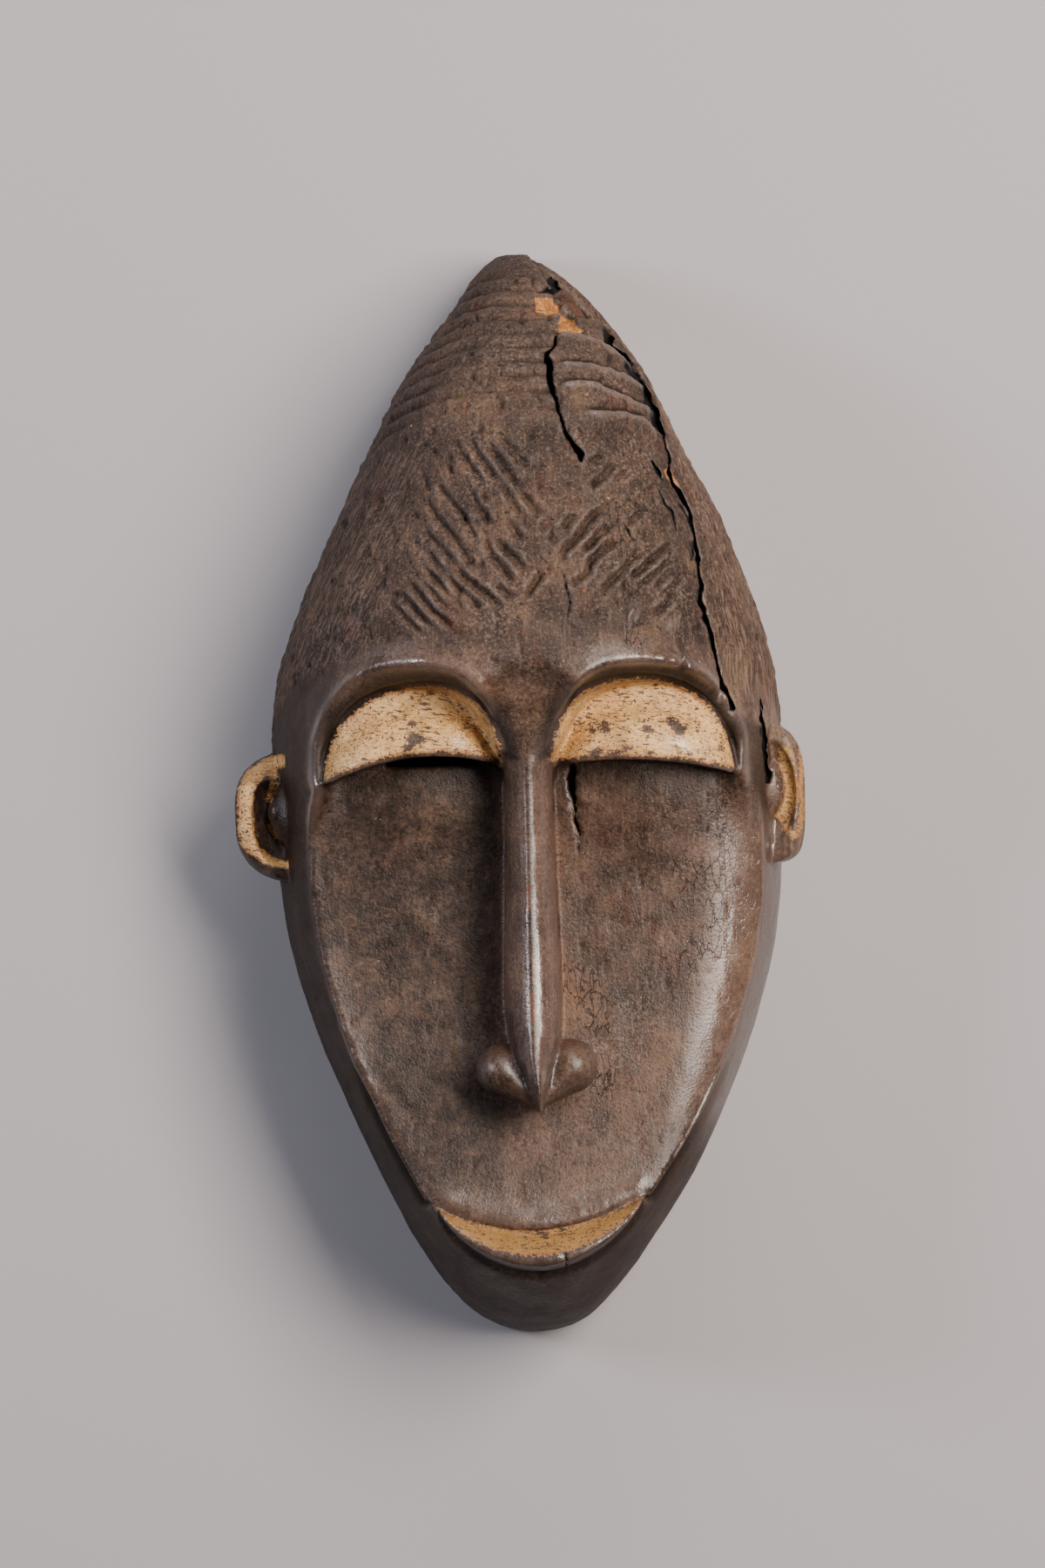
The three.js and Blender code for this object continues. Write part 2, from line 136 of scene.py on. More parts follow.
NOSTRILS = [
    {"centre": (-9.9, -84.3, 75.5), "size": 8.0, "tip": (0.2, -93.6, 78)},
    {"centre": (11.3, -83.6, 75.5), "size": 8.5, "tip": (2.8, -93.2, 78)},
]
NOSTRIL_HEIGHT = 11.5
NOSTRIL_TIP = (2.8, 9)
NOSTRIL_STEPS = 7

# Heavy upper lids: plan of each crescent and the height of its swell
LIDS = [
    {"centre": -35.1, "half": 27.8, "start": 3.8, "end": 8.9, "rise": 5.7, "arch": 27.0, "slot": 9.3,
     "lean": 0.0},
    {"centre": 35.5, "half": 28.4, "start": 8.6, "end": 5.4, "rise": 3.0, "arch": 27.5, "slot": 8.2,
     "lean": 6.0},
]
LID_ARCH_POWER = 2.2
LID_UNDERSIDE = 56
LID_EDGE = 82.0
LID_SLOPE = 5.5
LID_SWELL = 3.2
LID_END_DROP = 9
LID_REACH = 26
LID_FLOOR = 69
SLOT_SPAN = (-0.62, 0.72)
SLOT_FOOT = 20
SLOT_TOP = 14

# Mouth: upper edge, painted lower lip and its margin
MOUTH_CENTRE = 1.7
MOUTH_HALF = 32
MOUTH_CORNER = -125
MOUTH_TILT = 1.6
MOUTH_SAG = 9.2
LIP_SAG = 21.2
MOUTH_FLOOR = 69.5
LIP_CREST = 79.5

# Ears, each a cupped disc standing out from the side of the head
EARS = [
    {"side": -1, "reach": 91.5, "root": 66, "middle": -5.4, "half": 20.8, "rim": 44, "rim_width": 5.3,
     "lower": 2.7, "bowl": 8},
    {"side": 1, "reach": 86.4, "root": 66, "middle": -0.7, "half": 22.6, "rim": 46, "rim_width": 2.6,
     "lower": 5, "bowl": 5},
]
EAR_UPPER_POWER = 3.2
EAR_UNDERSIDE = 25
EAR_TOP_FALL = 17
EAR_BOWL_HALF = 9
EAR_BOWL_LENGTH = 0.76
EAR_FLAP_AT = 74
EAR_FLAP = (6.6, 10.5, 7.5)
EAR_CURL_AT = -78.6
EAR_CURL = (2.7, 4.4, 5.5)
SHIFT_ACROSS = (EARS[0]["reach"] - EARS[1]["reach"]) / 2

# How the photo shows the mask: its middle pixel, where that lies in plan, the size of a pixel and the roll
PHOTO_MIDDLE = (600, 900)
MIDDLE_IN_PLAN = (-1.6572, 3.3144)
PIXEL_AT_RIM = 0.2762
CAMERA_HEIGHT = 2500
HAIR_HEIGHT = 99
PIXEL_AT_HAIR = PIXEL_AT_RIM * (CAMERA_HEIGHT - HAIR_HEIGHT) / CAMERA_HEIGHT
PHOTO_ROLL = math.radians(1.2)

# Herringbone strokes, placed on enlarged pieces of the photo: strength, and path there in pixels
STROKE_HALF = 0.82
STROKE_DEPTH = 1.4
FALLING_STROKES = {"corner": (425, 500), "enlarged": 6.6, "boldness": 1, "strokes": [
    (1.0, [(985, 5), (1060, 75), (1140, 175), (1215, 240)]),
    (1.1, [(905, 60), (950, 140), (1060, 290), (1130, 390)]),
    (1.0, [(1150, 430), (1230, 525), (1285, 590)]),
    (0.8, [(760, 20), (805, 115), (850, 190), (905, 270), (960, 320)]),
    (0.9, [(1005, 395), (1040, 430), (1100, 545), (1140, 600)]),
    (0.6, [(650, 30), (680, 90), (720, 200), (790, 270), (850, 340)]),
    (0.45, [(540, 170), (600, 240), (640, 330)]),
    (1.0, [(640, 530), (700, 600), (750, 680), (810, 800)]),
    (0.8, [(740, 400), (790, 480), (850, 580), (930, 680)]),
    (0.8, [(520, 350), (560, 430), (640, 540)]),
    (0.9, [(430, 470), (500, 610), (560, 680), (650, 790), (690, 860), (765, 970)]),
    (0.6, [(385, 270), (420, 330), (450, 410)]),
    (0.7, [(410, 690), (430, 740), (500, 810), (560, 880), (620, 950)]),
    (1.2, [(665, 1010), (700, 1060), (760, 1120), (850, 1180), (900, 1220), (975, 1285)]),
    (0.6, [(455, 890), (500, 970), (560, 1030)]),
    (1.0, [(610, 1080), (650, 1150), (700, 1190), (800, 1290), (845, 1340)]),
    (0.9, [(430, 1020), (470, 1060), (520, 1120), (600, 1210)]),
    (0.7, [(440, 1150), (500, 1210), (540, 1280), (590, 1315)]),
    (1.1, [(290, 1110), (350, 1170), (430, 1270), (490, 1340), (550, 1390), (610, 1465)]),
    (0.9, [(235, 1200), (310, 1280), (350, 1330), (400, 1380), (450, 1440)]),
    (0.6, [(200, 1300), (240, 1345), (310, 1430), (370, 1480)]),
    (1.3, [(960, 790), (1010, 850), (1060, 900), (1110, 940), (1175, 1040)]),
    (1.2, [(880, 760), (895, 860), (920, 930), (1000, 1010), (1050, 1080), (1095, 1125)]),
    (1.0, [(1045, 650), (1080, 690), (1110, 740), (1150, 780)]),
    (0.9, [(955, 1140), (1000, 1180), (1070, 1240)]),
    (0.5, [(730, 950), (780, 990), (840, 1040), (890, 1080)]),
    (0.6, [(800, 640), (850, 720), (880, 760)]),
]}
RISING_STROKES = {"corner": (590, 520), "enlarged": 6.4, "boldness": 1.45, "strokes": [
    (1.1, [(95, 1055), (130, 1000), (175, 930), (205, 885)]),
    (0.6, [(205, 565), (240, 510), (270, 470)]),
    (0.8, [(360, 565), (400, 490), (450, 440)]),
    (1.1, [(330, 750), (395, 695), (450, 630), (500, 570), (545, 510), (600, 440), (660, 400)]),
    (1.1, [(520, 710), (570, 670), (620, 600), (690, 540)]),
    (1.0, [(430, 970), (480, 930), (540, 870), (560, 800), (620, 740), (680, 690), (750, 650)]),
    (0.9, [(640, 1030), (700, 960), (740, 910), (790, 870), (850, 790), (910, 720)]),
    (1.2, [(870, 910), (930, 860), (990, 800), (1040, 760), (1090, 710), (1150, 655)]),
    (0.8, [(930, 965), (1000, 900), (1070, 850), (1140, 755)]),
    (0.6, [(1050, 960), (1100, 900), (1150, 860)]),
    (1.1, [(1045, 1180), (1100, 1130), (1150, 1060), (1162, 1015)]),
    (0.6, [(1080, 1050), (1140, 990), (1190, 930), (1235, 880)]),
    (1.0, [(575, 235), (650, 170), (700, 115), (740, 80)]),
    (0.6, [(735, 175), (790, 150), (825, 115)]),
    (0.7, [(840, 520), (880, 480), (940, 400)]),
    (0.7, [(560, 60), (600, 30), (640, 0)]),
    (0.5, [(850, 230), (890, 200), (950, 160)]),
    (0.5, [(835, 1240), (850, 1180), (885, 1115)]),
    (0.275, [(650, 1010), (600, 1080), (540, 1130)]),
]}

# Drying cracks: depth, path in plan, and how far each side stands open along it
CRACKS = [
    (9, [(12.0, 141.5), (10.8, 137.6), (8.8, 134.6), (9.0, 130.7), (9.8, 126.8), (10.6, 122.1), (11.7, 119),
         (12.4, 115), (13.6, 111), (15.6, 107.5), (17.2, 104), (18.0, 101.2)],
     [(0, 0.25), (0.12, 0.3), (0.2, 0.6), (0.36, 0.7), (0.5, 0.45), (0.6, 0.3), (0.72, 0.35), (0.82, 0.6),
      (0.93, 1.1), (1, 0.3)]),
    (8, [(19.4, 155.2), (24.5, 149.9), (27.1, 145.2), (28.1, 138.9), (31.2, 136.2), (34.9, 131.8),
         (37.1, 126.7), (38.6, 122), (40.8, 115.7), (43.4, 111.2)],
     [(0, 0.3), (0.14, 1.8), (0.24, 2.0), (0.36, 1.3), (0.42, 0.8), (0.52, 1.9), (0.62, 2.1), (0.74, 1.8),
      (0.9, 2.0), (1, 0.6)]),
    (5, [(43.8, 111.5), (44.6, 106), (46, 98.8), (49.4, 91), (51.6, 86), (52.3, 78), (53.4, 70), (54.8, 60),
         (56, 52), (58.6, 43), (60.6, 34), (62.7, 25)],
     [(0, 0.5), (0.1, 0.3), (0.24, 0.9), (0.3, 0.5), (0.5, 0.45), (0.7, 0.55), (0.9, 0.5), (1, 0.8)]),
    (4, [(13.4, 7.6), (12.8, 5), (13, 1.6), (14, -2.9), (14.2, -8.6), (15.9, -12.2), (15.4, -18.9)],
     [(0, 1.2), (0.22, 0.9), (0.4, 0.5), (0.7, 0.35), (1, 0.12)]),
    (4, [(73.2, 28), (73.6, 21), (74.3, 13), (75.2, 2)],
     [(0, 0.2), (0.3, 0.5), (0.6, 0.9), (1, 0.3)]),
    (5, [(11.5, 161.5), (12.6, 158.1), (9.8, 156.6), (5.9, 155.5)],
     [(0, 1.3), (0.4, 1.0), (0.7, 0.6), (1, 0.2)]),
    (1.6, [(48, 88.5), (51, 84), (52.2, 77.5), (51, 71)],
     [(0, 0.2), (0.5, 0.4), (1, 0.2)]),
    (1.8, [(42.0, 92.5), (43.2, 89.1), (45.2, 85.8), (46.7, 82.4), (46.9, 79.9)],
     [(0, 0.2), (0.5, 0.35), (1, 0.15)]),
    (3, [(40.5, 101.6), (41.7, 99.1), (43.3, 96.2)],
     [(0, 0.3), (0.5, 0.7), (1, 0.2)]),
    (1.6, [(11.8, 67.8), (14.0, 61.1), (13.7, 57.8), (13.8, 50.8)],
     [(0, 0.15), (0.5, 0.3), (1, 0.2)]),
    (1.6, [(30.6, 82.4), (31.8, 79.8), (33.4, 76.9)],
     [(0, 0.2), (0.5, 0.35), (1, 0.15)]),
    (1.5, [(8.2, -141), (8.8, -144), (8.6, -146)],
     [(0, 0.2), (0.5, 0.35), (1, 0.3)]),
]
# Where the weathered right side begins, beyond the long crack
WEATHERED_FROM = [
    (-170, 78), (15, 76), (25, 62.7), (45, 57.5), (72, 53.4), (88, 51), (98.8, 46), (111, 43.3), (122, 40.5),
    (131, 37), (139, 30.5), (148, 24), (158, 14), (170, 5),
]

# Places where the ochre has flaked off the lids: x, y and size
FLAKES = [
    (-33.9, 17.9, 2.2), (-36.6, 15.0, 1.3), (-41.9, 18.1, 0.9), (-34.9, 22.2, 1.1), (-39.5, 24.5, 0.9),
    (-46.6, 24.6, 0.7), (-52.6, 15.6, 0.9), (-26.5, 13.2, 1.0), (-18.8, 21.3, 0.6), (24.1, 20.2, 1.7),
    (20.1, 19.5, 0.9), (37.2, 19.1, 1.6), (46.8, 18.9, 1.9), (45.0, 21.6, 1.5), (52.4, 18.5, 0.8),
    (30.4, 13.9, 1.4), (20.6, 12.2, 1.7), (27.6, 12.2, 1.5), (59.8, 13.0, 0.9), (38, 12.0, 1.0),
]

# Painted parts of the ears: half width, and path in plan
EAR_PAINT = [
    (1.15, [(-78.9, 9.4), (-79.3, 5.2), (-80.9, 0.2)]),
    (0.6, [(-81, -7.8), (-79.2, -12)]),
    (2.3, [(80.4, 11.4), (81.4, 5), (82.9, 0), (81.4, -4.6), (79.6, -8.2)]),
    (1.2, [(79.8, -8.2), (80.2, -12), (82.6, -14.6)]),
    (0.8, [(85.2, 12.6), (85.4, 4.2), (84.9, 0), (85.5, -6.6)]),
    (1.3, [(85.2, -7.4), (84.8, -11.5), (83.4, -14.2)]),
]

# Fresh breaks: depth, how each facet tilts across and along, and its outline in plan
CHIPS = [
    (1.9, (0.12, -0.1),
     [(5.4, 154.1), (9.7, 154.4), (14.2, 153.1), (13.7, 150.2), (11.4, 148.4), (5.7, 148.8)]),
    (2.2, (-0.16, 0.1),
     [(14.1, 151.4), (18.0, 149.4), (18.2, 144.6), (20.6, 142.9), (12.4, 142.2), (12.8, 146)]),
    (0.5, (0, 0),
     [(44.3, 100), (46.5, 99.7), (48.9, 94.5), (48.4, 91.8), (46.3, 94.5)]),
]
# Ledges between the two long cracks of the cap, each a line over which the wood stands out
LEDGES = [
    [(11.3, 140.6), (18.7, 140.5), (26.4, 137.2), (33.2, 132.4)],
    [(12.3, 131.3), (21.6, 130.7), (30.8, 127.8), (37.0, 125.4)],
    [(12.9, 125.1), (21.4, 124.6), (30.7, 120.9), (39.5, 117.6)],
    [(20.0, 116.4), (29.8, 115.5), (36.7, 113.8), (40.1, 109.1)],
]
# Red-brown edge of the cap, and places on the nose where the patina has worn off: middle and half sizes
RUSTY_EDGE = [(12.5, 158), (19.1, 155.3), (22.9, 151.4), (24.7, 145.9), (22, 146), (19, 150.5), (14, 153.5)]
NOSE_WEAR = [(-0.8, -31.3, 1.3, 4.0), (0.8, -53, 0.7, 4.2), (-0.4, -64.8, 1.5, 4.4), (1.2, -74, 0.5, 5.2)]
# Places rubbed shiny, their wood also lightened as painted highlight: middle and half sizes
SHINY = [
    (46, 13.5, 5, 4), (33, 55, 1.6, 2.6), (44.5, 51.5, 2.4, 1.8), (-20, 17, 2.5, 2), (-51.7, 10.3, 3, 1.6),
]
# Heights, depths and widths of the worked surface, and how many small holes it has
EDGE_LIP = 1.9
EDGE_ROLL = {"left": 0.9, "right": 0.2, "brow": 1.5}
BROKEN_BROW_RISE = 1.3
BROW_HOLLOW = 0.6
JAW_GROOVE = 1.5
LID_CREASE = 1.1
MOUTH_ROLL = 0.7
MOUTH_GROOVE = 0.9
LIP_GROOVE = 1.2
STROKE_BURR = 0.45
LEDGE_FOOT = 0.7
WEATHERED_SINK = 1.0
SPLIT_DEPTH = 1.9
CRACK_LIP_SINK = 0.3
TOOL_MARKS = 0.35
SMALL_MARKS = 0.16
CRUMB_RISE = 0.55
SUNKEN_DEPTH = 0.9
GOUGE_DEPTH = 0.5
SMALL_HOLES = 420
# Line of the middle crack, where the ledges begin
MIDDLE_CRACK = [(98, 18.4), (107.5, 15.6), (119, 11.7), (126.8, 9.8), (134.6, 8.8), (141.5, 12.0), (152, 16)]


def curve_through(points):
    """Smooth curve through a few (place, value) pairs."""
    places, values = np.array(points, float).T
    number = np.arange(len(places))
    before = np.maximum(number - 1, 0)
    after = np.minimum(number + 1, len(places) - 1)
    slopes = (values[after] - values[before]) / (places[after] - places[before])

    def value_at(place):
        place = np.clip(place, places[0], places[-1])
        i = np.clip(np.searchsorted(places, place) - 1, 0, len(places) - 2)
        span = places[i + 1] - places[i]
        t = (place - places[i]) / span
        start = (1 + 2 * t) * (1 - t) ** 2
        bend = slopes[i] * t * (1 - t) ** 2 - slopes[i + 1] * t * t * (1 - t)
        return values[i] * start + values[i + 1] * (1 - start) + span * bend

    return value_at


def rounded_curve_through(points):
    """The same, spaced by angle round a circle, so that the value drops away roundly at both ends."""
    half = points[-1][0]

    def angle(place):
        return np.arcsin(np.clip(np.asarray(place, float) / half, -1, 1))

    curve = curve_through([(float(angle(place)), value) for place, value in points])
    return lambda place: np.maximum(curve(angle(place)), 0)


left_half = rounded_curve_through(LEFT_WIDTH)
right_half = rounded_curve_through(RIGHT_WIDTH)
height = rounded_curve_through(DOME_HEIGHT)
roof = rounded_curve_through(HOLLOW_ROOF)
droop = curve_through(ROW_DROOP)
plane_height = curve_through(FACE_PLANE)
bridge = curve_through(BRIDGE_LINE)
bridge_curl = curve_through(BRIDGE_SPREAD)
ridge_line = curve_through(NOSE_RIDGE)
nose_middle = curve_through(NOSE_MIDDLE)
weathered_from = curve_through(WEATHERED_FROM)
middle_crack = curve_through(MIDDLE_CRACK)
nose_half = curve_through(NOSE_HALF_WIDTH)


def mix(a, b, share):
    return a + (b - a) * share


def smooth_step(value, low, high):
    t = np.clip((value - low) / (high - low), 0, 1)
    return t * t * (3 - 2 * t)


def bump_at(value, middle, width):
    """Bell that is 1 at the middle and falls off over the width."""
    return np.exp(-(((value - middle) / width) ** 2))


def fullness(value, power):
    """Height of a superellipse of this power above its middle, as a share."""
    return np.maximum(1 - np.abs(value) ** power, 0) ** (1 / power)


def half_width(x, y):
    return np.where(x < 0, left_half(y), right_half(y))


def dome_at(x, y):
    """Height of the plain dome over the plan."""
    across = np.abs(x) / np.maximum(half_width(x, y), 1e-6)
    return height(y) * fullness(np.minimum(across, 1), SECTION_POWER)


def row_of(y, z):
    """Where the row of hair through this place starts on the rim, as the rows droop towards the sides."""
    row = np.array(y, float)
    for _ in range(6):
        row = y - droop(row) * z
    return row


def lumps(points, size, seed):
    """Smooth seeded noise from -1 to 1 over the points, with lumps of about this size."""
    cells = np.asarray(points, float) / size
    base = np.floor(cells).astype(np.int64)
    part = cells - base
    ease = part * part * (3 - 2 * part)
    steps = np.array([73856093, 19349663, 83492791])[: cells.shape[1]]
    total = np.zeros(len(cells))
    for corner in itertools.product((0, 1), repeat=cells.shape[1]):
        key = ((base + corner) * steps).sum(axis=1) + seed * 7919
        key = ((key ^ (key >> 13)) * 1274126177) & 0x7FFFFFFF
        key = (key ^ (key >> 15)) & 0xFFFF
        weight = np.where(corner, ease, 1 - ease).prod(axis=1)
        total += weight * (key / 32767.5 - 1)
    return total


def stroke_paths(piece):
    """Strength of each stroke of an enlarged piece, and its path in plan to a tenth of a millimetre."""
    for strength, places in piece["strokes"]:
        from_middle = np.array(piece["corner"]) + np.array(places) / piece["enlarged"] - PHOTO_MIDDLE
        right = MIDDLE_IN_PLAN[0] + PIXEL_AT_HAIR * from_middle[:, 0]
        up = MIDDLE_IN_PLAN[1] - PIXEL_AT_HAIR * from_middle[:, 1]
        x = right * math.cos(PHOTO_ROLL) + up * math.sin(PHOTO_ROLL)
        y = up * math.cos(PHOTO_ROLL) - right * math.sin(PHOTO_ROLL)
        yield round(strength * piece["boldness"], 2), np.column_stack([x, y]).round(1)


def along_path(path, x, y):
    """Distance in plan from a path, and how far along it the nearest place is, from 0 to 1."""
    path = np.array(path, float)
    legs = np.diff(path, axis=0)
    lengths = np.hypot(*legs.T)
    starts = np.concatenate(([0], np.cumsum(lengths)))
    nearest = np.full(len(x), np.inf)
    share = np.zeros(len(x))
    for (px, py), (dx, dy), length, start in zip(path, legs, lengths, starts):
        t = np.clip(((x - px) * dx + (y - py) * dy) / length**2, 0, 1)
        gap = np.hypot(x - px - dx * t, y - py - dy * t)
        closer = gap < nearest
        nearest = np.where(closer, gap, nearest)
        share = np.where(closer, (start + t * length) / starts[-1], share)
    return nearest, share


def inset_in(outline, x, y):
    """Distance in plan inside a closed outline, negative outside it."""
    closed = [*outline, outline[0]]
    inside = np.zeros(len(x), bool)
    for (ax, ay), (bx, by) in zip(closed, closed[1:]):
        crosses = (ay > y) != (by > y)
        inside ^= crosses & (x < ax + (y - ay) * (bx - ax) / (by - ay))
    gap = along_path(closed, x, y)[0]
    return np.where(inside, gap, -gap)


# Shapes of the carving, as heights over the plan


def brow_of(x):
    """Centre, half width and power of the brow arch over each place."""
    left, right = BROWS
    is_left = x < 0
    centre = np.where(is_left, left["centre"], right["centre"])
    inward = (x - centre) * np.sign(centre) < 0
    inner = np.where(is_left, left["inner"], right["inner"])
    outer = np.where(is_left, left["outer"], right["outer"])
    power = np.where(inward, BROW_INNER_POWER, BROW_OUTER_POWER)
    return centre, np.where(inward, inner, outer), power


def brow_line(x):
    """Underside of the brow arches above the sockets."""
    centre, half, power = brow_of(x)
    return BROW_HEIGHT * fullness((x - centre) / half, power)


def brow_inset(x, y):
    """Distance inside the brow arch."""
    centre, half, power = brow_of(x)
    reach = np.abs((x - centre) / half) ** power + np.abs(np.maximum(y, 0) / BROW_HEIGHT) ** power
    return (1 - reach ** (1 / power)) * mix(half, BROW_HEIGHT, smooth_step(y, 10, 36))


def face_at(x, y):
    """The face is a shallow plane that lifts to a ridge on the left and rolls over on the right."""
    edge = np.abs(x) / (FACE_EDGE * np.maximum(half_width(x, y), 20))
    rise = np.where(x < 0, *EDGE_RISES) * smooth_step(y, -130, -70)
    fall = RIGHT_CHEEK_FALL * np.maximum(x - RIGHT_CHEEK_FROM, 0) ** 2 * smooth_step(y, -142, -90)
    roll = RIGHT_EDGE_ROLL * np.clip((edge - 0.78) / 0.22, 0, 1.4) ** 2 * (x > 0) * smooth_step(y, -128, -100)
    under_lids = 3.5 * bump_at(np.abs(x), 37, 24) * bump_at(y, 3, 16)
    corners = EYE_CORNER_FILL * bump_at(np.abs(x), 67, 5) * bump_at(y, 9, 11)
    rise = rise * np.minimum(edge, 1.1) ** EDGE_RISE_POWER
    return plane_height(y) + rise - fall - roll + under_lids + corners


def carved_floor(x, y):
    """Bottom of the cut: face plane, then the sockets, whose wall climbs steeply and rolls to the brow."""
    socket = smooth_step(y, 12, 22)
    floor = mix(face_at(x, y), SOCKET_FLOOR - 6 * (np.abs(x) / 66) ** 3, socket)
    band = mix(3.5, 8.5, smooth_step(y, 14, 36))
    climb = np.clip(1 - brow_inset(x, y) / band, 0, 1)
    wall = (1 - (1 - climb) ** 2.3) * smooth_step(y, 9, 20)
    return floor + wall * np.maximum(dome_at(x, y) - 2 - floor, 0)


def lid_base(lid, s):
    return mix(lid["start"], lid["end"], (s + 1) / 2)


def lid_line(lid, s):
    return lid_base(lid, s) + lid["rise"] * (1 - s * s)


def lid_inset(lid, x, y):
    """Distance inside the arched upper edge of a lid, and height over the line between its corners."""
    s = (x - lid["centre"]) / lid["half"]
    over = y - lid_base(lid, np.clip(s, -1, 1))
    rise = np.maximum(over, 0) / lid["arch"]
    size = (np.abs(s) ** LID_ARCH_POWER + rise**LID_ARCH_POWER) ** (1 / LID_ARCH_POWER)
    return (1 - size) * LID_REACH, over


def mouth_line(s):
    return MOUTH_CORNER + MOUTH_TILT * s - MOUTH_SAG * (1 - s * s)


def lip_line(s):
    return MOUTH_CORNER + MOUTH_TILT * s - LIP_SAG * np.maximum(1 - s * s, 0) ** 0.75


# Sculpting tools

# Levels that clear the mask above and below
CLEAR_ABOVE = 125
CLEAR_MOUTH = 110
CLEAR_BELOW = -4
# Points closer than this are one
MERGED = 0.002


def patch(columns, rows, place):
    """A sheet of columns by rows faces, put in place by a function of two shares from 0 to 1."""
    sheet = bmesh.new()
    bmesh.ops.create_grid(sheet, x_segments=columns, y_segments=rows, size=1)
    flat = np.array([vert.co[:2] for vert in sheet.verts]) / 2 + 0.5
    for vert, point in zip(sheet.verts, np.column_stack(place(flat[:, 0], flat[:, 1]))):
        vert.co = point
    return sheet


def block_to(sheet, level):
    """Closed block between a sheet and the level, a function of x and y."""
    made = bmesh.ops.extrude_face_region(sheet, geom=sheet.faces[:], use_keep_orig=True)
    for vert in made["geom"]:
        if isinstance(vert, bmesh.types.BMVert):
            vert.co.z = level(vert.co.x, vert.co.y)
    return sheet


def as_object(name, shape):
    """The finished bmesh as an object, with its doubles merged and its faces pointing out."""
    bmesh.ops.remove_doubles(shape, verts=shape.verts, dist=MERGED)
    bmesh.ops.recalc_face_normals(shape, faces=shape.faces)
    if shape.calc_volume(signed=True) < 0:
        bmesh.ops.reverse_faces(shape, faces=shape.faces)
    mesh = bpy.data.meshes.new(name)
    shape.to_mesh(mesh)
    shape.free()
    made = bpy.data.objects.new(name, mesh)
    bpy.context.scene.collection.objects.link(made)
    return made


def settle(body):
    """Keeps what the body's modifiers make as its own mesh."""
    shown = body.evaluated_get(bpy.context.evaluated_depsgraph_get())
    made = bpy.data.meshes.new_from_object(shown)
    body.modifiers.clear()
    body.data = made


def carve(body, tool, operation="DIFFERENCE"):
    """Cuts the tool out of the body, or joins it on, and uses it up."""
    step = body.modifiers.new("carve", "BOOLEAN")
    step.operation = operation
    step.solver = "MANIFOLD"
    step.object = tool
    settle(body)
    bpy.data.objects.remove(tool)


def upturned_bowl(columns, rows, along, across, power, top):
    """Bowl over the plan of the mask, drawn in to these shares of its length and width."""

    def place(u, v):
        turn = u * np.pi
        y = -along * HALF_LENGTH * np.cos(v * np.pi)
        reach = -np.sign(np.cos(turn)) * np.abs(np.cos(turn)) ** (2 / power)
        width = across * half_width(reach, y / along)
        return reach * width, y, top(y) * np.maximum(np.sin(turn), 0) ** (2 / power)

    shape = patch(columns, rows, place)
    bmesh.ops.remove_doubles(shape, verts=shape.verts, dist=MERGED)
    return shape


def head():
    """Plain dome of the mask, closed flat at the rim."""
    shape = upturned_bowl(120, 170, 1, 1, SECTION_POWER, height)
    edge = [one for one in shape.edges if one.is_boundary]
    bmesh.ops.holes_fill(shape, edges=edge, sides=0)
    return as_object("head", shape)


def hollow():
    """Room for the wearer's face, open below the rim."""
    shape = upturned_bowl(80, 110, HOLLOW_ALONG, HOLLOW_ACROSS, HOLLOW_POWER, roof)
    return as_object("hollow", block_to(shape, lambda x, y: CLEAR_BELOW))


def front_cut():
    """Everything in front of the face plane and the eye sockets."""

    def place(u, v):
        x = mix(-84, 84, u)
        top = np.maximum(brow_line(x), np.where(np.abs(x) < 8, 12, 0))
        y = mix(-150, top, 1 - (1 - v) ** 1.6)
        return x, y, carved_floor(x, y)

    return as_object("front_cut", block_to(patch(170, 130, place), lambda x, y: CLEAR_ABOVE))


def bridge_cut():
    """The forehead dips between the brows to run out on the nose."""

    def place(u, v):
        x, y = mix(-26, 26, u), mix(6, 54, v)
        return x, y, bridge(y) + bridge_curl(y) * np.minimum(np.abs(x), BRIDGE_HALF) ** 2

    return as_object("bridge_cut", block_to(patch(40, 30, place), lambda x, y: CLEAR_ABOVE))


def nose():
    """Straight bar with a narrow flat ridge between two sloping facets, running out to a narrow tip."""

    def place(u, v):
        y = mix(NOSE_HALF_WIDTH[0][0], NOSE_ROOT, v)
        across = np.sin(mix(-np.pi / 2, np.pi / 2, u))
        body = (ridge_line(y) - NOSE_BASE) * fullness(across, 7)
        beyond = np.abs(across - 0.03) - NOSE_FLAT
        round_off = np.where(across > 0, NOSE_ROUNDING["right"], NOSE_ROUNDING["left"])
        facet = NOSE_FACET * (beyond + np.hypot(beyond, round_off)) / 2 * smooth_step(y, 34, 4)
        return nose_middle(y) + across * nose_half(y), y, NOSE_BASE + np.maximum(body - facet, 0)

    return as_object("nose", block_to(patch(48, 120, place), lambda x, y: NOSE_BASE - 1))


def ball(centre, radii):
    shape = bmesh.new()
    sizes = Matrix.Translation(centre) @ Matrix.Diagonal((*radii, 1))
    bmesh.ops.create_uvsphere(shape, u_segments=40, v_segments=24, radius=1, matrix=sizes)
    return as_object("ball", shape)


def add_nostril(body, wing):
    """A round nostril that tapers to the tip of the nose."""
    small, low = NOSTRIL_TIP
    for i in range(NOSTRIL_STEPS):
        share = i / (NOSTRIL_STEPS - 1)
        middle = mix(np.array(wing["centre"]), np.array(wing["tip"]), share)
        size = mix(wing["size"], small, share**0.9)
        carve(body, ball(middle, (size, size, mix(NOSTRIL_HEIGHT, low, share))), "UNION")


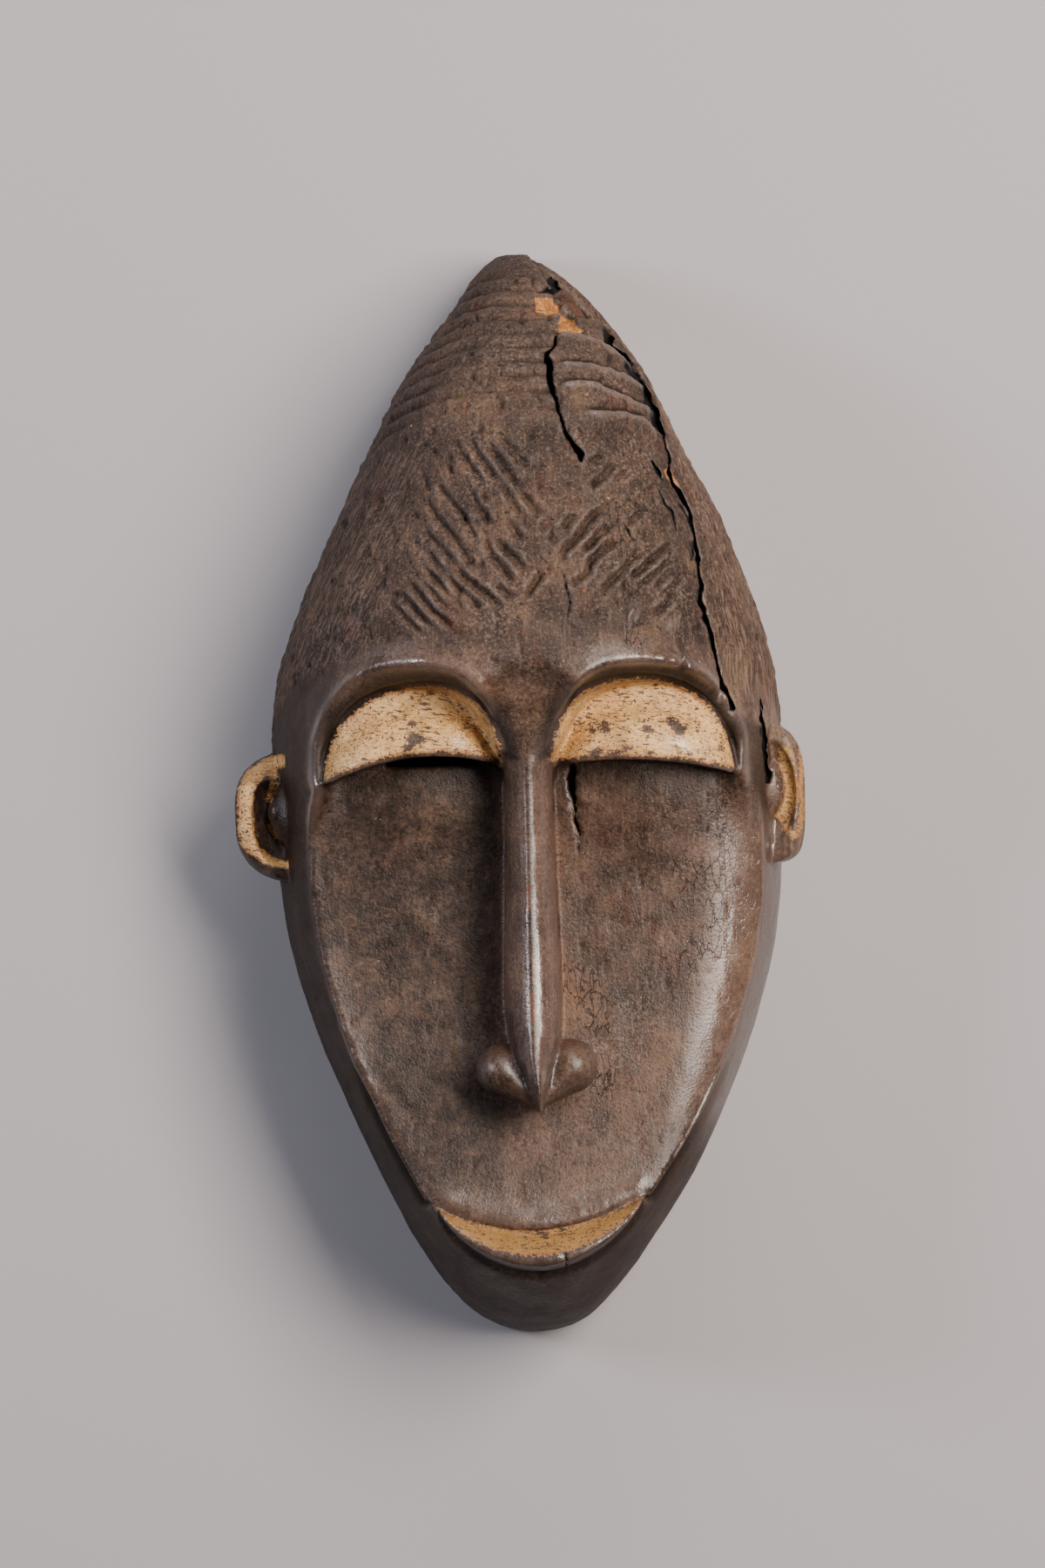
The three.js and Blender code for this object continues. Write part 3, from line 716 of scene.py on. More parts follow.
def upper_lid(lid):
    """Crescent lid that swells forward above its edge."""

    def place(u, v):
        s = np.sin(mix(-np.pi / 2, np.pi / 2, u))
        upper = lid_base(lid, s) + lid["arch"] * fullness(s, LID_ARCH_POWER)
        y = mix(lid_line(lid, s), upper, v)
        swell = LID_SWELL * np.sin(np.pi * np.minimum(v * 1.35 + 0.12, 1)) * (1 - s**4)
        top = LID_EDGE - LID_END_DROP * np.abs(s) ** 3 - LID_SLOPE * v + swell
        return lid["centre"] + s * lid["half"], y, top

    return as_object("lid", block_to(patch(70, 36, place), lambda x, y: LID_UNDERSIDE))


def sight_slot(lid):
    """Narrow slot under a lid, leaning back behind it on the side where the lid covers it."""
    leans = lid["lean"] > 0

    def place(u, v):
        s = mix(*SLOT_SPAN, u)
        low = lid["slot"]
        high = np.maximum(lid_line(lid, s) + (0.4 if leans else 0), low + 0.1)
        return lid["centre"] + s * lid["half"], mix(low, high, v), LID_UNDERSIDE + (0 if leans else SLOT_TOP)

    shape = patch(24, 3, lambda u, v: np.broadcast_arrays(*place(u, v)))
    block_to(shape, lambda x, y: SLOT_FOOT)
    for vert in shape.verts:
        if vert.co.z < LID_UNDERSIDE - 1:
            vert.co.y += lid["lean"]
    return as_object("slot", shape)


def mouth_place(s, t):
    return MOUTH_CENTRE + s * MOUTH_HALF, mix(mouth_line(s), lip_line(s), t)


def mouth_cut():
    def place(u, v):
        x, y = mouth_place(mix(-0.98, 0.98, u), mix(0, 0.9, v))
        return x, y, np.full_like(x, MOUTH_FLOOR)

    return as_object("mouth_cut", block_to(patch(50, 8, place), lambda x, y: CLEAR_MOUTH))


def lower_lip():
    """Lip that climbs from the mouth to a crest, with a rounded margin above the chin."""

    def place(u, v):
        s, t = mix(-1, 1, u), mix(-0.4, 1, v)
        x, y = mouth_place(s, t)
        climb = np.sin(np.pi / 2 * np.clip(t / 0.8, 0, 1))
        margin = 3.5 * np.clip((t - 0.82) / 0.18, 0, 1) ** 1.5
        top = mix(MOUTH_FLOOR + 1, LIP_CREST - 5 * s * s, climb) - margin
        return x, y, np.where(t < 0, MOUTH_FLOOR + 1 + 12 * t, top)

    return as_object("lip", block_to(patch(90, 36, place), lambda x, y: 50))


def ear_fall(one, s):
    """The left ear's upper end curls back towards the rim."""
    return EAR_TOP_FALL * smooth_step(s, 0.42, 1.0) if one["side"] < 0 else 3 * smooth_step(s, 0.7, 1.0)


def ear(one):
    """Cupped ear: a thick disc with a bowl sunk in it, and the pointed flap in front of the bowl."""
    side, middle = one["side"], one["middle"]

    def place(u, v):
        s = np.sin(mix(-np.pi / 2, np.pi / 2, u))
        power = np.where(s > 0, EAR_UPPER_POWER, one["lower"])
        outer = (one["reach"] - one["root"]) * fullness(s, power)
        t = np.sin(v * np.pi / 2)
        top = one["rim"] - 3 * np.maximum(t - 0.85, 0) / 0.15 - 2 * s * s - ear_fall(one, s)
        return side * (one["root"] + outer * t), middle + s * one["half"], top

    def underside(x, y):
        return EAR_UNDERSIDE - 7 + 7 * (abs(x) - one["root"]) / (one["reach"] - one["root"])

    disc = as_object("ear", block_to(patch(40, 16, place), underside))
    bowl = (side * (one["reach"] - one["rim_width"] - EAR_BOWL_HALF), middle, one["rim"])
    carve(disc, ball(bowl, (EAR_BOWL_HALF, one["half"] * EAR_BOWL_LENGTH, one["bowl"])))
    carve(disc, ball((side * EAR_FLAP_AT, middle + 1, one["rim"] - 6), EAR_FLAP), "UNION")
    if side < 0:
        carve(disc, ball((EAR_CURL_AT, middle + 1.6, one["rim"] - 5), EAR_CURL), "UNION")
    return disc


def rough_out():
    """The block with all its main forms, before the surface is worked."""
    body = head()
    carve(body, front_cut())
    carve(body, bridge_cut())
    carve(body, nose(), "UNION")
    for wing in NOSTRILS:
        add_nostril(body, wing)
    carve(body, mouth_cut())
    carve(body, lower_lip(), "UNION")
    for lid in LIDS:
        carve(body, upper_lid(lid), "UNION")
    for one in EARS:
        carve(body, ear(one), "UNION")
    carve(body, hollow())
    for lid in LIDS:
        carve(body, sight_slot(lid))
    return body


# Surface relief


def read_points(mesh):
    """Places of the points, and their normals."""
    both = []
    for items, name in ((mesh.vertices, "co"), (mesh.vertex_normals, "vector")):
        values = np.empty(len(items) * 3)
        items.foreach_get(name, values)
        both.append(values.reshape(-1, 3))
    return both


def write_points(mesh, points):
    mesh.vertices.foreach_set("co", points.ravel())
    mesh.update()


def face_outline():
    """Path of the edge of the sunken face on each side, from the bridge over the brow to the mouth."""
    paths = []
    for side, (centre, inner, outer) in zip((-1, 1), (brow.values() for brow in BROWS)):
        turn = np.linspace(0.12, np.pi / 2, 14)
        arcs = []
        for way, reach, power in ((-side, inner, BROW_INNER_POWER), (side, outer, BROW_OUTER_POWER)):
            x = centre + way * (np.cos(turn) ** (2 / power) * reach)
            arcs.append(np.column_stack((x, BROW_HEIGHT * np.sin(turn) ** (2 / power))))
        y = np.linspace(2, -124, 22)
        low, high = np.full_like(y, 30.0), np.full_like(y, 80.0)
        for _ in range(24):
            middle = (low + high) / 2
            inside = dome_at(side * middle, y) > face_at(side * middle, y)
            low, high = np.where(inside, middle, low), np.where(inside, high, middle)
        edge = np.column_stack((side * low, y))
        paths.append(np.vstack((arcs[0], arcs[1][::-1], edge)))
    return paths


FACE_OUTLINE = face_outline()


def from_face_edge(x, y):
    """Distance in plan from the edge of the sunken face."""
    return np.minimum(*(along_path(path, x, y)[0] for path in FACE_OUTLINE))


def raise_to(field, amount, near=...):
    """Raises the values of a field to at least this amount, all over or only near a place."""
    field[near] = np.maximum(field[near], amount)


def near_path(path, x, y, reach):
    """Which points lie in the box round a path, so that the rest needn't be measured."""
    path = np.array(path, float)
    low, high = path.min(axis=0) - reach, path.max(axis=0) + reach
    return (x > low[0]) & (x < high[0]) & (y > low[1]) & (y < high[1])


class Surface:
    """The points of the outside of the mask, where each lies on it, what the carver did there, and where
    shade and sheen are painted on it.
    """

    def __init__(self, points, normals):
        x, y, z = points[:, 0], points[:, 1], np.maximum(points[:, 2], 0)
        up = normals[:, 2]
        self.points, self.x, self.y, self.z = points, x, y, z
        self.across = np.abs(x) / np.maximum(half_width(x, y), 1)
        self.shell = self.across**SECTION_POWER + (z / np.maximum(height(y), 1)) ** SECTION_POWER
        room = np.abs(x) / np.maximum(HOLLOW_ACROSS * half_width(x, y / HOLLOW_ALONG), 1)
        room = room**HOLLOW_POWER + (z / np.maximum(roof(y), 1)) ** HOLLOW_POWER
        over_hollow = np.abs(y) < HOLLOW_ALONG * HALF_LENGTH + 1
        self.inside = smooth_step(room, 1.22, 1.06) * over_hollow * smooth_step(z, -0.5, 0.5)
        skin = smooth_step(self.shell, 0.84, 0.93) * smooth_step(z, 0.3, 2.5)
        faces_up = smooth_step(up, 0.05, 0.3) * smooth_step(z, 40, 50)
        self.skin = skin * (1 - self.inside)
        self.front = np.maximum(skin, faces_up) * (1 - self.inside)
        beyond = np.abs(x) - half_width(x, y) * fullness(np.minimum(z / HEAD_DEPTH, 1), SECTION_POWER)
        self.on_ear = smooth_step(beyond, 0.8, 2.2) * (np.abs(y + 3) < 30)
        self.row = row_of(y, z)
        # Steep sides of the head, which the material darkens as painted shade and makes rougher and less
        # shiny
        self.side = smooth_step(up, 0.62, 0.3) * self.skin * (1 - self.on_ear)
        self.wobble = lumps(points, 16, 1)
        self.lift, self.drop, self.dark, self.gloss = np.zeros((4, len(x)))

    def carve_hair(self):
        """Hair stands a little over the forehead, in fine strands at the sides."""
        ragged = 1.4 * self.wobble + 1.1 * lumps(self.points, 5, 21)
        self.hair = smooth_step(self.row + ragged, HAIRLINE_AT - 3, HAIRLINE_AT + 3.4) * self.skin
        self.lift += HAIR_RISE * self.hair * smooth_step(self.across, 1.0, 0.88)
        self.weather = smooth_step(self.x - weathered_from(self.y), 0, 5) * self.skin
        self.side *= (1 - 0.65 * self.hair) * (1 - self.weather)

    def carve_cap(self):
        """Ridged cap: worn bands with narrow grooves, and crisp ledges between the two long cracks."""
        x, y, points = self.x, self.y, self.points
        row = self.row + 1.4 * self.wobble + 0.4 * lumps(points, 5, 3)
        self.cap = smooth_step(row, CAP_FROM - 3, CAP_FROM + 2) * self.skin
        band = (row - CAP_FROM) / RIDGE_PITCH
        round_band = np.sin(np.pi * (band - np.floor(band))) ** 0.7
        wear = mix(1, 0.75, smooth_step(-x, -6, 16)) * (1 - 0.5 * self.weather)
        wear *= np.clip(0.85 + 0.6 * lumps(points, 10, 22) + 0.15 * lumps(points, 3, 24), 0, 1.3)
        wear *= smooth_step(band, RIDGE_COUNT + 0.4, RIDGE_COUNT - 1.0) * smooth_step(band, -0.3, 1.6)
        between = smooth_step(x - middle_crack(y), -0.2, 0.4) * (1 - self.weather) * smooth_step(y, 149, 144)
        wear *= 1 - 0.85 * between
        self.lift += self.cap * (CAP_RISE - GROOVE_DEPTH * wear * (1 - round_band))
        # Painted shade in the grooves between the bands
        raise_to(self.dark, 0.6 * self.cap * wear * (1 - smooth_step(round_band, 0.1, 0.7)))
        for ledge in LEDGES:
            near = near_path(ledge, x, y, 12) & (self.skin > 0.5)
            over = y[near] - curve_through(ledge)(x[near]) + 0.5 * lumps(points[near], 3, 51)
            starts, ends = x[near] - ledge[0][0], ledge[-1][0] - x[near]
            share = smooth_step(starts, -2, 2) * smooth_step(ends, -2, 0.5)
            crest = np.where(over < 0, np.exp(over / 4.2), bump_at(over, 0, 0.6))
            self.lift[near] += share * (LEDGE_HEIGHT * crest - LEDGE_FOOT * bump_at(over, 1.5, 0.8))
            # Painted shade in the groove along each ledge, and painted highlight on its crest, which is also
            # smoother
            raise_to(self.dark, 0.95 * share * bump_at(over, 1.5, 0.6), near)
            raise_to(self.gloss, share * bump_at(over, -0.4, 0.8), near)
        self.lift -= WEATHERED_SINK * self.weather * smooth_step(self.row, 92, 98)
        split = smooth_step(x + 0.55 * (y - 146), 15.5, 16.5) * smooth_step(y, 146, 149) * self.skin
        self.lift -= SPLIT_DEPTH * split

    def carve_herringbone(self):
        """Strokes with a raised burr beside them, and here and there filled up."""
        x, y = self.x, self.y
        bend = 0.35 * lumps(self.points, 4, 5)
        mould = smooth_step(lumps(self.points, 6, 4), -0.75, 0.0)
        for strength, path in itertools.chain(*map(stroke_paths, (FALLING_STROKES, RISING_STROKES))):
            near = near_path(path, x, y, 6) & (self.skin > 0.5)
            gap, along = along_path(path, x[near] + bend[near], y[near] - bend[near])
            taper = np.clip(np.minimum(along, 1 - along) * 6 + 0.25, 0, 1) * strength
            cut = bump_at(gap, 0, STROKE_HALF) * taper * (0.5 + 0.5 * mould[near])
            self.lift[near] += STROKE_BURR * bump_at(gap, 2.2, 0.9) * taper - STROKE_DEPTH * cut
            # Painted shade down in each stroke
            raise_to(self.dark, 0.3 * cut, near)

    def round_the_edge(self):
        """A rolled lip round the brows and down the cheeks, and a groove where the jaw begins, with painted
        shade in it.
        """
        x, y, z = self.x, self.y, self.z
        gap = from_face_edge(x, y)
        high_side = smooth_step(z, 60, 66) * self.front
        brow = smooth_step(y, 8, 20)
        lip = bump_at(gap, 0, EDGE_LIP) * high_side
        roll = mix(np.where(x < 0, EDGE_ROLL["left"], EDGE_ROLL["right"]), EDGE_ROLL["brow"], brow)
        broken = bump_at(x, 50, 9) * smooth_step(y, 22, 30)
        notches = bump_at(x - 0.5 * (y - 37), 46.4, 0.9) + bump_at(x - 0.35 * (y - 27), 58.6, 1.1)
        whole = 1 - np.minimum(notches, 1) * (x > 0) * brow
        self.lift += (roll + BROKEN_BROW_RISE * broken) * lip * whole * smooth_step(y, -100, -80)
        self.lift -= BROW_HOLLOW * bump_at(gap, 8.0, 3.2) * brow * self.skin * smooth_step(y, 24, 34)
        right_cheek = smooth_step(x, 36, 62) * smooth_step(-y, 0, 14)
        handled = smooth_step(lumps(self.points, 7, 52), -0.5, 0.3)
        # The rolled lip and the right cheek are made smoother, and lightened in colour as painted sheen
        sheen = np.maximum(lip * mix(1, handled, 0.6 * brow), 0.85 * right_cheek * smooth_step(gap, 22, 4))
        raise_to(self.gloss, sheen * smooth_step(y, -118, -96))
        jaw = smooth_step(-y, 78, 96) * bump_at(gap, 1.4, 0.9) * (self.shell > 0.97) * (y > -129)
        self.lift -= JAW_GROOVE * jaw
        # Painted shadow along the jaw groove
        raise_to(self.dark, 0.9 * jaw)
        for lid in LIDS:
            inset, over = lid_inset(lid, x, y)
            above = self.front * smooth_step(over, 0.5, 3) * (z < 97)
            crease = bump_at(inset, -1.0, 0.8) * above
            self.lift -= LID_CREASE * crease
            # Painted shade in the crease round each lid and on the brow's wall above it
            shade = 0.8 * smooth_step(inset, -7, -2.5) * (inset < 0) * above
            raise_to(self.dark, np.maximum(crease, shade))
        dusty = 0.6 * smooth_step(gap, 3.5, 8) * smooth_step(y, 32, 42) * self.skin
        raise_to(self.hair, dusty)

    def shape_mouth(self):
        """The face rounds over above the mouth, and the lip steps down to the chin."""
        x, y, z = self.x, self.y, self.z
        s = (x - MOUTH_CENTRE) / MOUTH_HALF
        inner = np.clip(s, -1, 1)
        over = y - mouth_line(inner)
        width = smooth_step(np.abs(s), 1.12, 0.9) * self.front
        plane = width * (over > -0.6) * (z < 79)
        self.lift += MOUTH_ROLL * bump_at(over, 3.6, 3) * plane
        self.lift -= MOUTH_GROOVE * bump_at(over, 0, 1) * plane
        # Painted shadow along the edge of the upper lip and under the lower lip, and painted sheen on the
        # roll above the mouth and on the lip's margin
        raise_to(self.dark, 0.9 * bump_at(over, -0.2, 0.6) * width)
        under = lip_line(inner) - y
        raise_to(self.dark, 0.95 * bump_at(under, 0.9, 1.1) * width * (under > -0.6))
        self.lift -= LIP_GROOVE * bump_at(under, 1.6, 1.3) * width * (under > 0)
        raise_to(self.gloss, 0.7 * bump_at(over, 4, 5) * plane)
        raise_to(self.gloss, 0.6 * bump_at(under, -2.4, 2.0) * width)

    def open_cracks(self):
        """Cracks open and close along their length; their lips are a little sunken."""
        points = self.points
        x = self.x + 0.8 * lumps(points, 4.5, 6) + 0.35 * lumps(points, 1.7, 7)
        y = self.y + 0.9 * lumps(points, 5, 8)
        self.crack = np.full(len(x), -3.0)
        for depth, path, opening in CRACKS:
            near = near_path(path, x, y, 6) & (self.front > 0.3)
            gap, along = along_path(path, x[near], y[near])
            inset = curve_through(opening)(along) * (1 + 0.35 * lumps(points[near], 2.6, 20)) - gap
            raise_to(self.crack, inset, near)
            sunk = depth * smooth_step(inset, -0.25, 0.4)
            raise_to(self.drop, sunk, near)
            self.lift[near] -= CRACK_LIP_SINK * bump_at(gap, 0, 2.4) * (depth > 4)

    def break_chips(self):
        """Fresh breaks show flat facets of bare wood."""
        self.bare = np.full(len(self.x), -5.0)
        for depth, tilt, outline in CHIPS:
            near = near_path(outline, self.x, self.y, 6) & (self.skin > 0.5)
            x, y = self.x[near], self.y[near]
            inset = inset_in(outline, x, y) + 0.35 * lumps(self.points[near], 1.8, 10)
            middle = np.mean(outline, axis=0)
            sunk = depth + tilt[0] * (x - middle[0]) + tilt[1] * (y - middle[1])
            self.lift[near] -= sunk * smooth_step(inset, -0.5, 0.4)
            raise_to(self.bare, inset, near)

    def weather_it(self):
        """Tool marks, weathering, small holes and short splits."""
        points, x, y = self.points, self.x, self.y
        plain = self.front * (1 - self.on_ear)
        tools = TOOL_MARKS * lumps(points, 24, 12) * plain
        self.lift += tools + SMALL_MARKS * lumps(points, 8, 13) * self.front
        rough = 0.05 + 0.2 * self.hair
        self.lift += rough * lumps(points * np.array([1, 0.4, 1]), 1.9, 14) * self.front
        crumbs = np.maximum(lumps(points * np.array([1, 0.7, 1]), 2.6, 41) - 0.25, 0)
        self.lift += (0.15 + CRUMB_RISE * self.hair) * crumbs * plain
        sunken = np.maximum(lumps(points, 4.5, 42) - 0.4, 0)
        self.lift -= SUNKEN_DEPTH * sunken * self.hair
        self.lift += 0.18 * self.weather * lumps(points * np.array([1, 0.12, 1]), 1.8, 15)
        self.strand = self.hair * (1 - self.cap) * smooth_step(self.across, 0.5, 0.75)
        self.strand *= smooth_step(-x, 10, 22)
        hand = np.random.default_rng(5)
        for _ in range(SMALL_HOLES):
            middle = hand.uniform((-74, -120), (74, 160))
            size, depth = hand.uniform(0.45, 0.95), hand.uniform(0.3, 0.9)
            stretch = hand.uniform(0.8, 3.0)
            near = (np.abs(x - middle[0]) < 3) & (np.abs(y - middle[1]) < 7)
            near &= (self.front > 0.5) & (self.z > 40)
            hole = np.exp(-((x[near] - middle[0]) ** 2 + ((y[near] - middle[1]) / stretch) ** 2) / size**2)
            amount = hole * (0.35 + 0.65 * self.hair[near])
            self.lift[near] -= depth * amount
            # Painted shade down in each hole
            raise_to(self.dark, 0.75 * amount, near)

    def stain_it(self):
        """Sooty patina and painted shade on the chin, painted shade on the left of the face, darker above the
        mouth, red-brown wear by the nose, and its worn ridge, with painted highlight on the nose.
        """
        x, y = self.x, self.y
        smooth_skin = self.front * (1 - self.hair)
        chin = smooth_step(-y - 0.12 * np.abs(x - 6) + 4 * self.wobble, 124, 142)
        # The left of the face is darkened as painted shade, on the side away from the light and beside the
        # nose
        left_cheek_shade = 0.85 * smooth_step(-x, 2, 14) * smooth_step(self.z, 80, 72) * smooth_step(y, -140, -115)
        above_mouth = 0.4 * smooth_step(-y, 84, 104) * smooth_step(self.z, 82, 76)
        self.soot = np.maximum(chin, np.maximum(left_cheek_shade, above_mouth)) * smooth_skin
        beside = np.abs(x - nose_middle(y)) - nose_half(y)
        length = smooth_step(y, -98, -86) * smooth_step(-y, -14, 2)
        self.stain = 0.6 * bump_at(beside, 1.6, 1.7) * length * (self.z < 84)
        raise_to(self.stain, smooth_step(inset_in(RUSTY_EDGE, x, y), -0.6, 0.6) * self.skin)
        self.worn = np.full(len(x), -5.0)
        for mx, my, across, along in NOSE_WEAR:
            inset = np.minimum(across - np.abs(x - mx), along - np.abs(y - my))
            self.worn = np.where(self.z > 80, np.maximum(self.worn, inset), self.worn)
        from_middle = x - nose_middle(y)
        length = smooth_step(y, -96, -88) * smooth_step(-y, -22, -6) * (self.z > 70)
        # The right facet, which faces the light, and the two arrises are made smoother and lightened as
        # painted highlight; the flat top between them is darkened as painted reflection
        facet = 0.55 * smooth_step(from_middle, 0.8, 2.0) * smooth_step(beside, 0.5, -1.0)
        arris = np.maximum(bump_at(from_middle, 1.9, 1.3), 0.8 * bump_at(from_middle, -1.9, 0.9))
        raise_to(self.gloss, np.maximum(facet, arris) * length)
        raise_to(self.soot, 0.7 * bump_at(from_middle, 0, 1.4) * length)
        for wing in NOSTRILS:
            gap = np.hypot(x - wing["centre"][0], y - wing["centre"][1])
            ball_top = smooth_step(gap, 10.5, 7.5) * smooth_step(self.z, 66, 70)
            raise_to(self.gloss, (0.3 + 0.3 * lumps(self.points, 4, 53)) * ball_top)
            raise_to(self.soot, 0.5 * ball_top)
        for sx, sy, across, along in SHINY:
            spot = bump_at(x, sx, across) * bump_at(y, sy, along) * (self.z > 70)
            raise_to(self.gloss, 0.9 * spot)
        # Paint is darker on the lower lip and on the right ear
        self.smoked = smooth_step(-y, 110, 120) + 0.5 * smooth_step(x, 70, 76)
        self.crazing = bump_at(x, 60, 14) * bump_at(y, -28, 34)
        raise_to(self.crazing, 0.9 * bump_at(x, 34, 17) * bump_at(y, 78, 32))
        raise_to(self.crazing, bump_at(x, 18, 7) * bump_at(y, -72, 26) * (self.z < 84))

    def gouge_inside(self):
        self.lift -= GOUGE_DEPTH * np.abs(lumps(self.points * np.array([1, 0.6, 1]), 11, 15)) * self.inside

    def work(self):
        """Each step in its order, as some read what an earlier one left."""
        self.carve_hair()
        self.carve_cap()
        self.carve_herringbone()
        self.round_the_edge()
        self.shape_mouth()
        self.open_cracks()
        self.break_chips()
        self.weather_it()
        self.stain_it()
        self.gouge_inside()
        return self


def pigment(points):
    """Distance inside the painted areas, in millimetres: the lids, the lower lip and the ears."""
    x, y, z = points.T
    painted = np.full(len(x), -5.0)
    for lid in LIDS:
        s = (x - lid["centre"]) / lid["half"]
        upper = lid_inset(lid, x, y)[0]
        lower = y - lid_line(lid, np.clip(s, -1, 1)) - 1.3
        raise_to(painted, np.minimum(np.minimum(upper, lower), z - LID_FLOOR))
    s = (x - MOUTH_CENTRE) / MOUTH_HALF
    inner = np.clip(s, -1, 1)
    upper = mouth_line(inner) - y + 0.1
    lower = (y - mix(mouth_line(inner), lip_line(inner), 0.63)) * 0.8
    lip = np.minimum(np.minimum(upper, lower), (1.02 - np.abs(s)) * 14)
    raise_to(painted, np.where(z > 62, lip, -5))
    one = EARS[0]
    s = (y - one["middle"]) / one["half"]
    t = (-x - one["root"]) / (one["reach"] - one["root"])
    power = np.where(s > 0, EAR_UPPER_POWER, one["lower"])
    size = (np.abs(np.clip(s, -1.2, 1.2)) ** power + np.clip(t, 0, 1.2) ** power) ** (1 / power)
    from_edge = (1 - size) * 23
    lobe = smooth_step(-s, 0.35, 0.85)
    rim = np.minimum(from_edge - mix(0.7, 4.0, lobe), mix(5.2, 7.4, lobe) - from_edge)
    rim = np.where((z > one["rim"] - 24) & (z < one["rim"] + 3) & (x < -75) & (np.abs(s) < 1.1), rim, -5)
    raise_to(painted, rim)
    for half, path in EAR_PAINT:
        near = near_path(path, x, y, 6) & (z > 28) & (z < 52)
        gap = along_path(path, x[near], y[near])[0]
        raise_to(painted, half - gap, near)
    return painted


def flaked(points):
    """Distance inside the places where the paint has flaked, in millimetres."""
    x, y = points[:, 0], points[:, 1]
    lost = np.full(len(x), -5.0)
    for fx, fy, size in FLAKES:
        near = (np.abs(x - fx) < 8) & (np.abs(y - fy) < 8) & (points[:, 2] > 66)
        gap = np.hypot((x[near] - fx) / 1.3, y[near] - fy) + 0.7 * lumps(points[near], 1.7, 31)
        raise_to(lost, size - gap, near)
    return lost


def soften(body, amount, turns, group=""):
    step = body.modifiers.new("soften", "SMOOTH")
    step.factor = amount
    step.iterations = turns
    step.vertex_group = group
    settle(body)


def soften_edges(body):
    """Rounds the edge of the face, the brows, the bridge and the mouth, as handling has."""
    x, y, z = read_points(body.data)[0].T
    gap = from_face_edge(x, y)
    weight = smooth_step(gap, 6, 2.5) * (z > 50)
    bridge_area = bump_at(x, 0, 26) * bump_at(y, 34, 16) * (z > 84)
    weight = np.maximum(weight, np.minimum(bridge_area * 1.5, 1))
    group = body.vertex_groups.new(name="soft")
    for level in (0.25, 0.5, 0.75, 1.0):
        chosen = np.flatnonzero(np.abs(weight - level) <= 0.125)
        group.add(chosen.tolist(), level, "REPLACE")
    turns = 64
    soften(body, 0.5, turns, "soft")
    body.vertex_groups.clear()


def write_attribute(mesh, name, values):
    if name not in mesh.attributes:
        mesh.attributes.new(name, "FLOAT", "POINT")
    mesh.attributes[name].data.foreach_set("value", np.asarray(values, np.float32))


def convexity(mesh, points, normals):
    """How far each place stands out from its neighbours: positive on edges, negative in corners."""
    edges = np.empty(len(mesh.edges) * 2, np.int64)
    mesh.edges.foreach_get("vertices", edges)
    a, b = edges.reshape(-1, 2).T
    count = np.bincount(a, minlength=len(points)) + np.bincount(b, minlength=len(points))
    length = np.linalg.norm(points[a] - points[b], axis=1)

    def around(values):
        total = np.bincount(a, values[b], len(points)) + np.bincount(b, values[a], len(points))
        return total / np.maximum(count, 1)

    spacing = np.bincount(a, length, len(points)) + np.bincount(b, length, len(points))
    spacing /= np.maximum(count, 1)
    middle = np.column_stack([around(points[:, axis]) for axis in range(3)])
    bend = ((points - middle) * normals).sum(axis=1) / spacing**2
    for _ in range(4):
        bend = 0.5 * bend + 0.5 * around(bend)
    return bend


def thin_out(body, ratio, group=""):
    thin = body.modifiers.new("thin out", "DECIMATE")
    thin.ratio = ratio
    thin.use_collapse_triangulate = True
    thin.vertex_group = group
    settle(body)


def keep_largest(body):
    """Drops the crumbs that the remesh leaves loose."""
    shape = bmesh.new()
    shape.from_mesh(body.data)
    shape.verts.ensure_lookup_table()
    unseen = set(shape.verts)
    pieces = []
    while unseen:
        piece, front = [], [unseen.pop()]
        while front:
            vert = front.pop()
            piece.append(vert)
            for edge in vert.link_edges:
                other = edge.other_vert(vert)
                if other in unseen:
                    unseen.discard(other)
                    front.append(other)
        pieces.append(piece)
    pieces.sort(key=len)
    for piece in pieces[:-1]:
        bmesh.ops.delete(shape, geom=piece, context="VERTS")
    shape.to_mesh(body.data)
    shape.free()


def read_attribute(mesh, name):
    values = np.empty(len(mesh.vertices), np.float32)
    mesh.attributes[name].data.foreach_get("value", values)
    return values


# What the surface hands on to the material, as values on its points
WORKED = (
    "bare", "crack", "crazing", "dark", "flake", "gloss", "hair", "inside", "pigment", "side", "smoked",
    "soot", "stain", "strand", "weather", "worn",
)


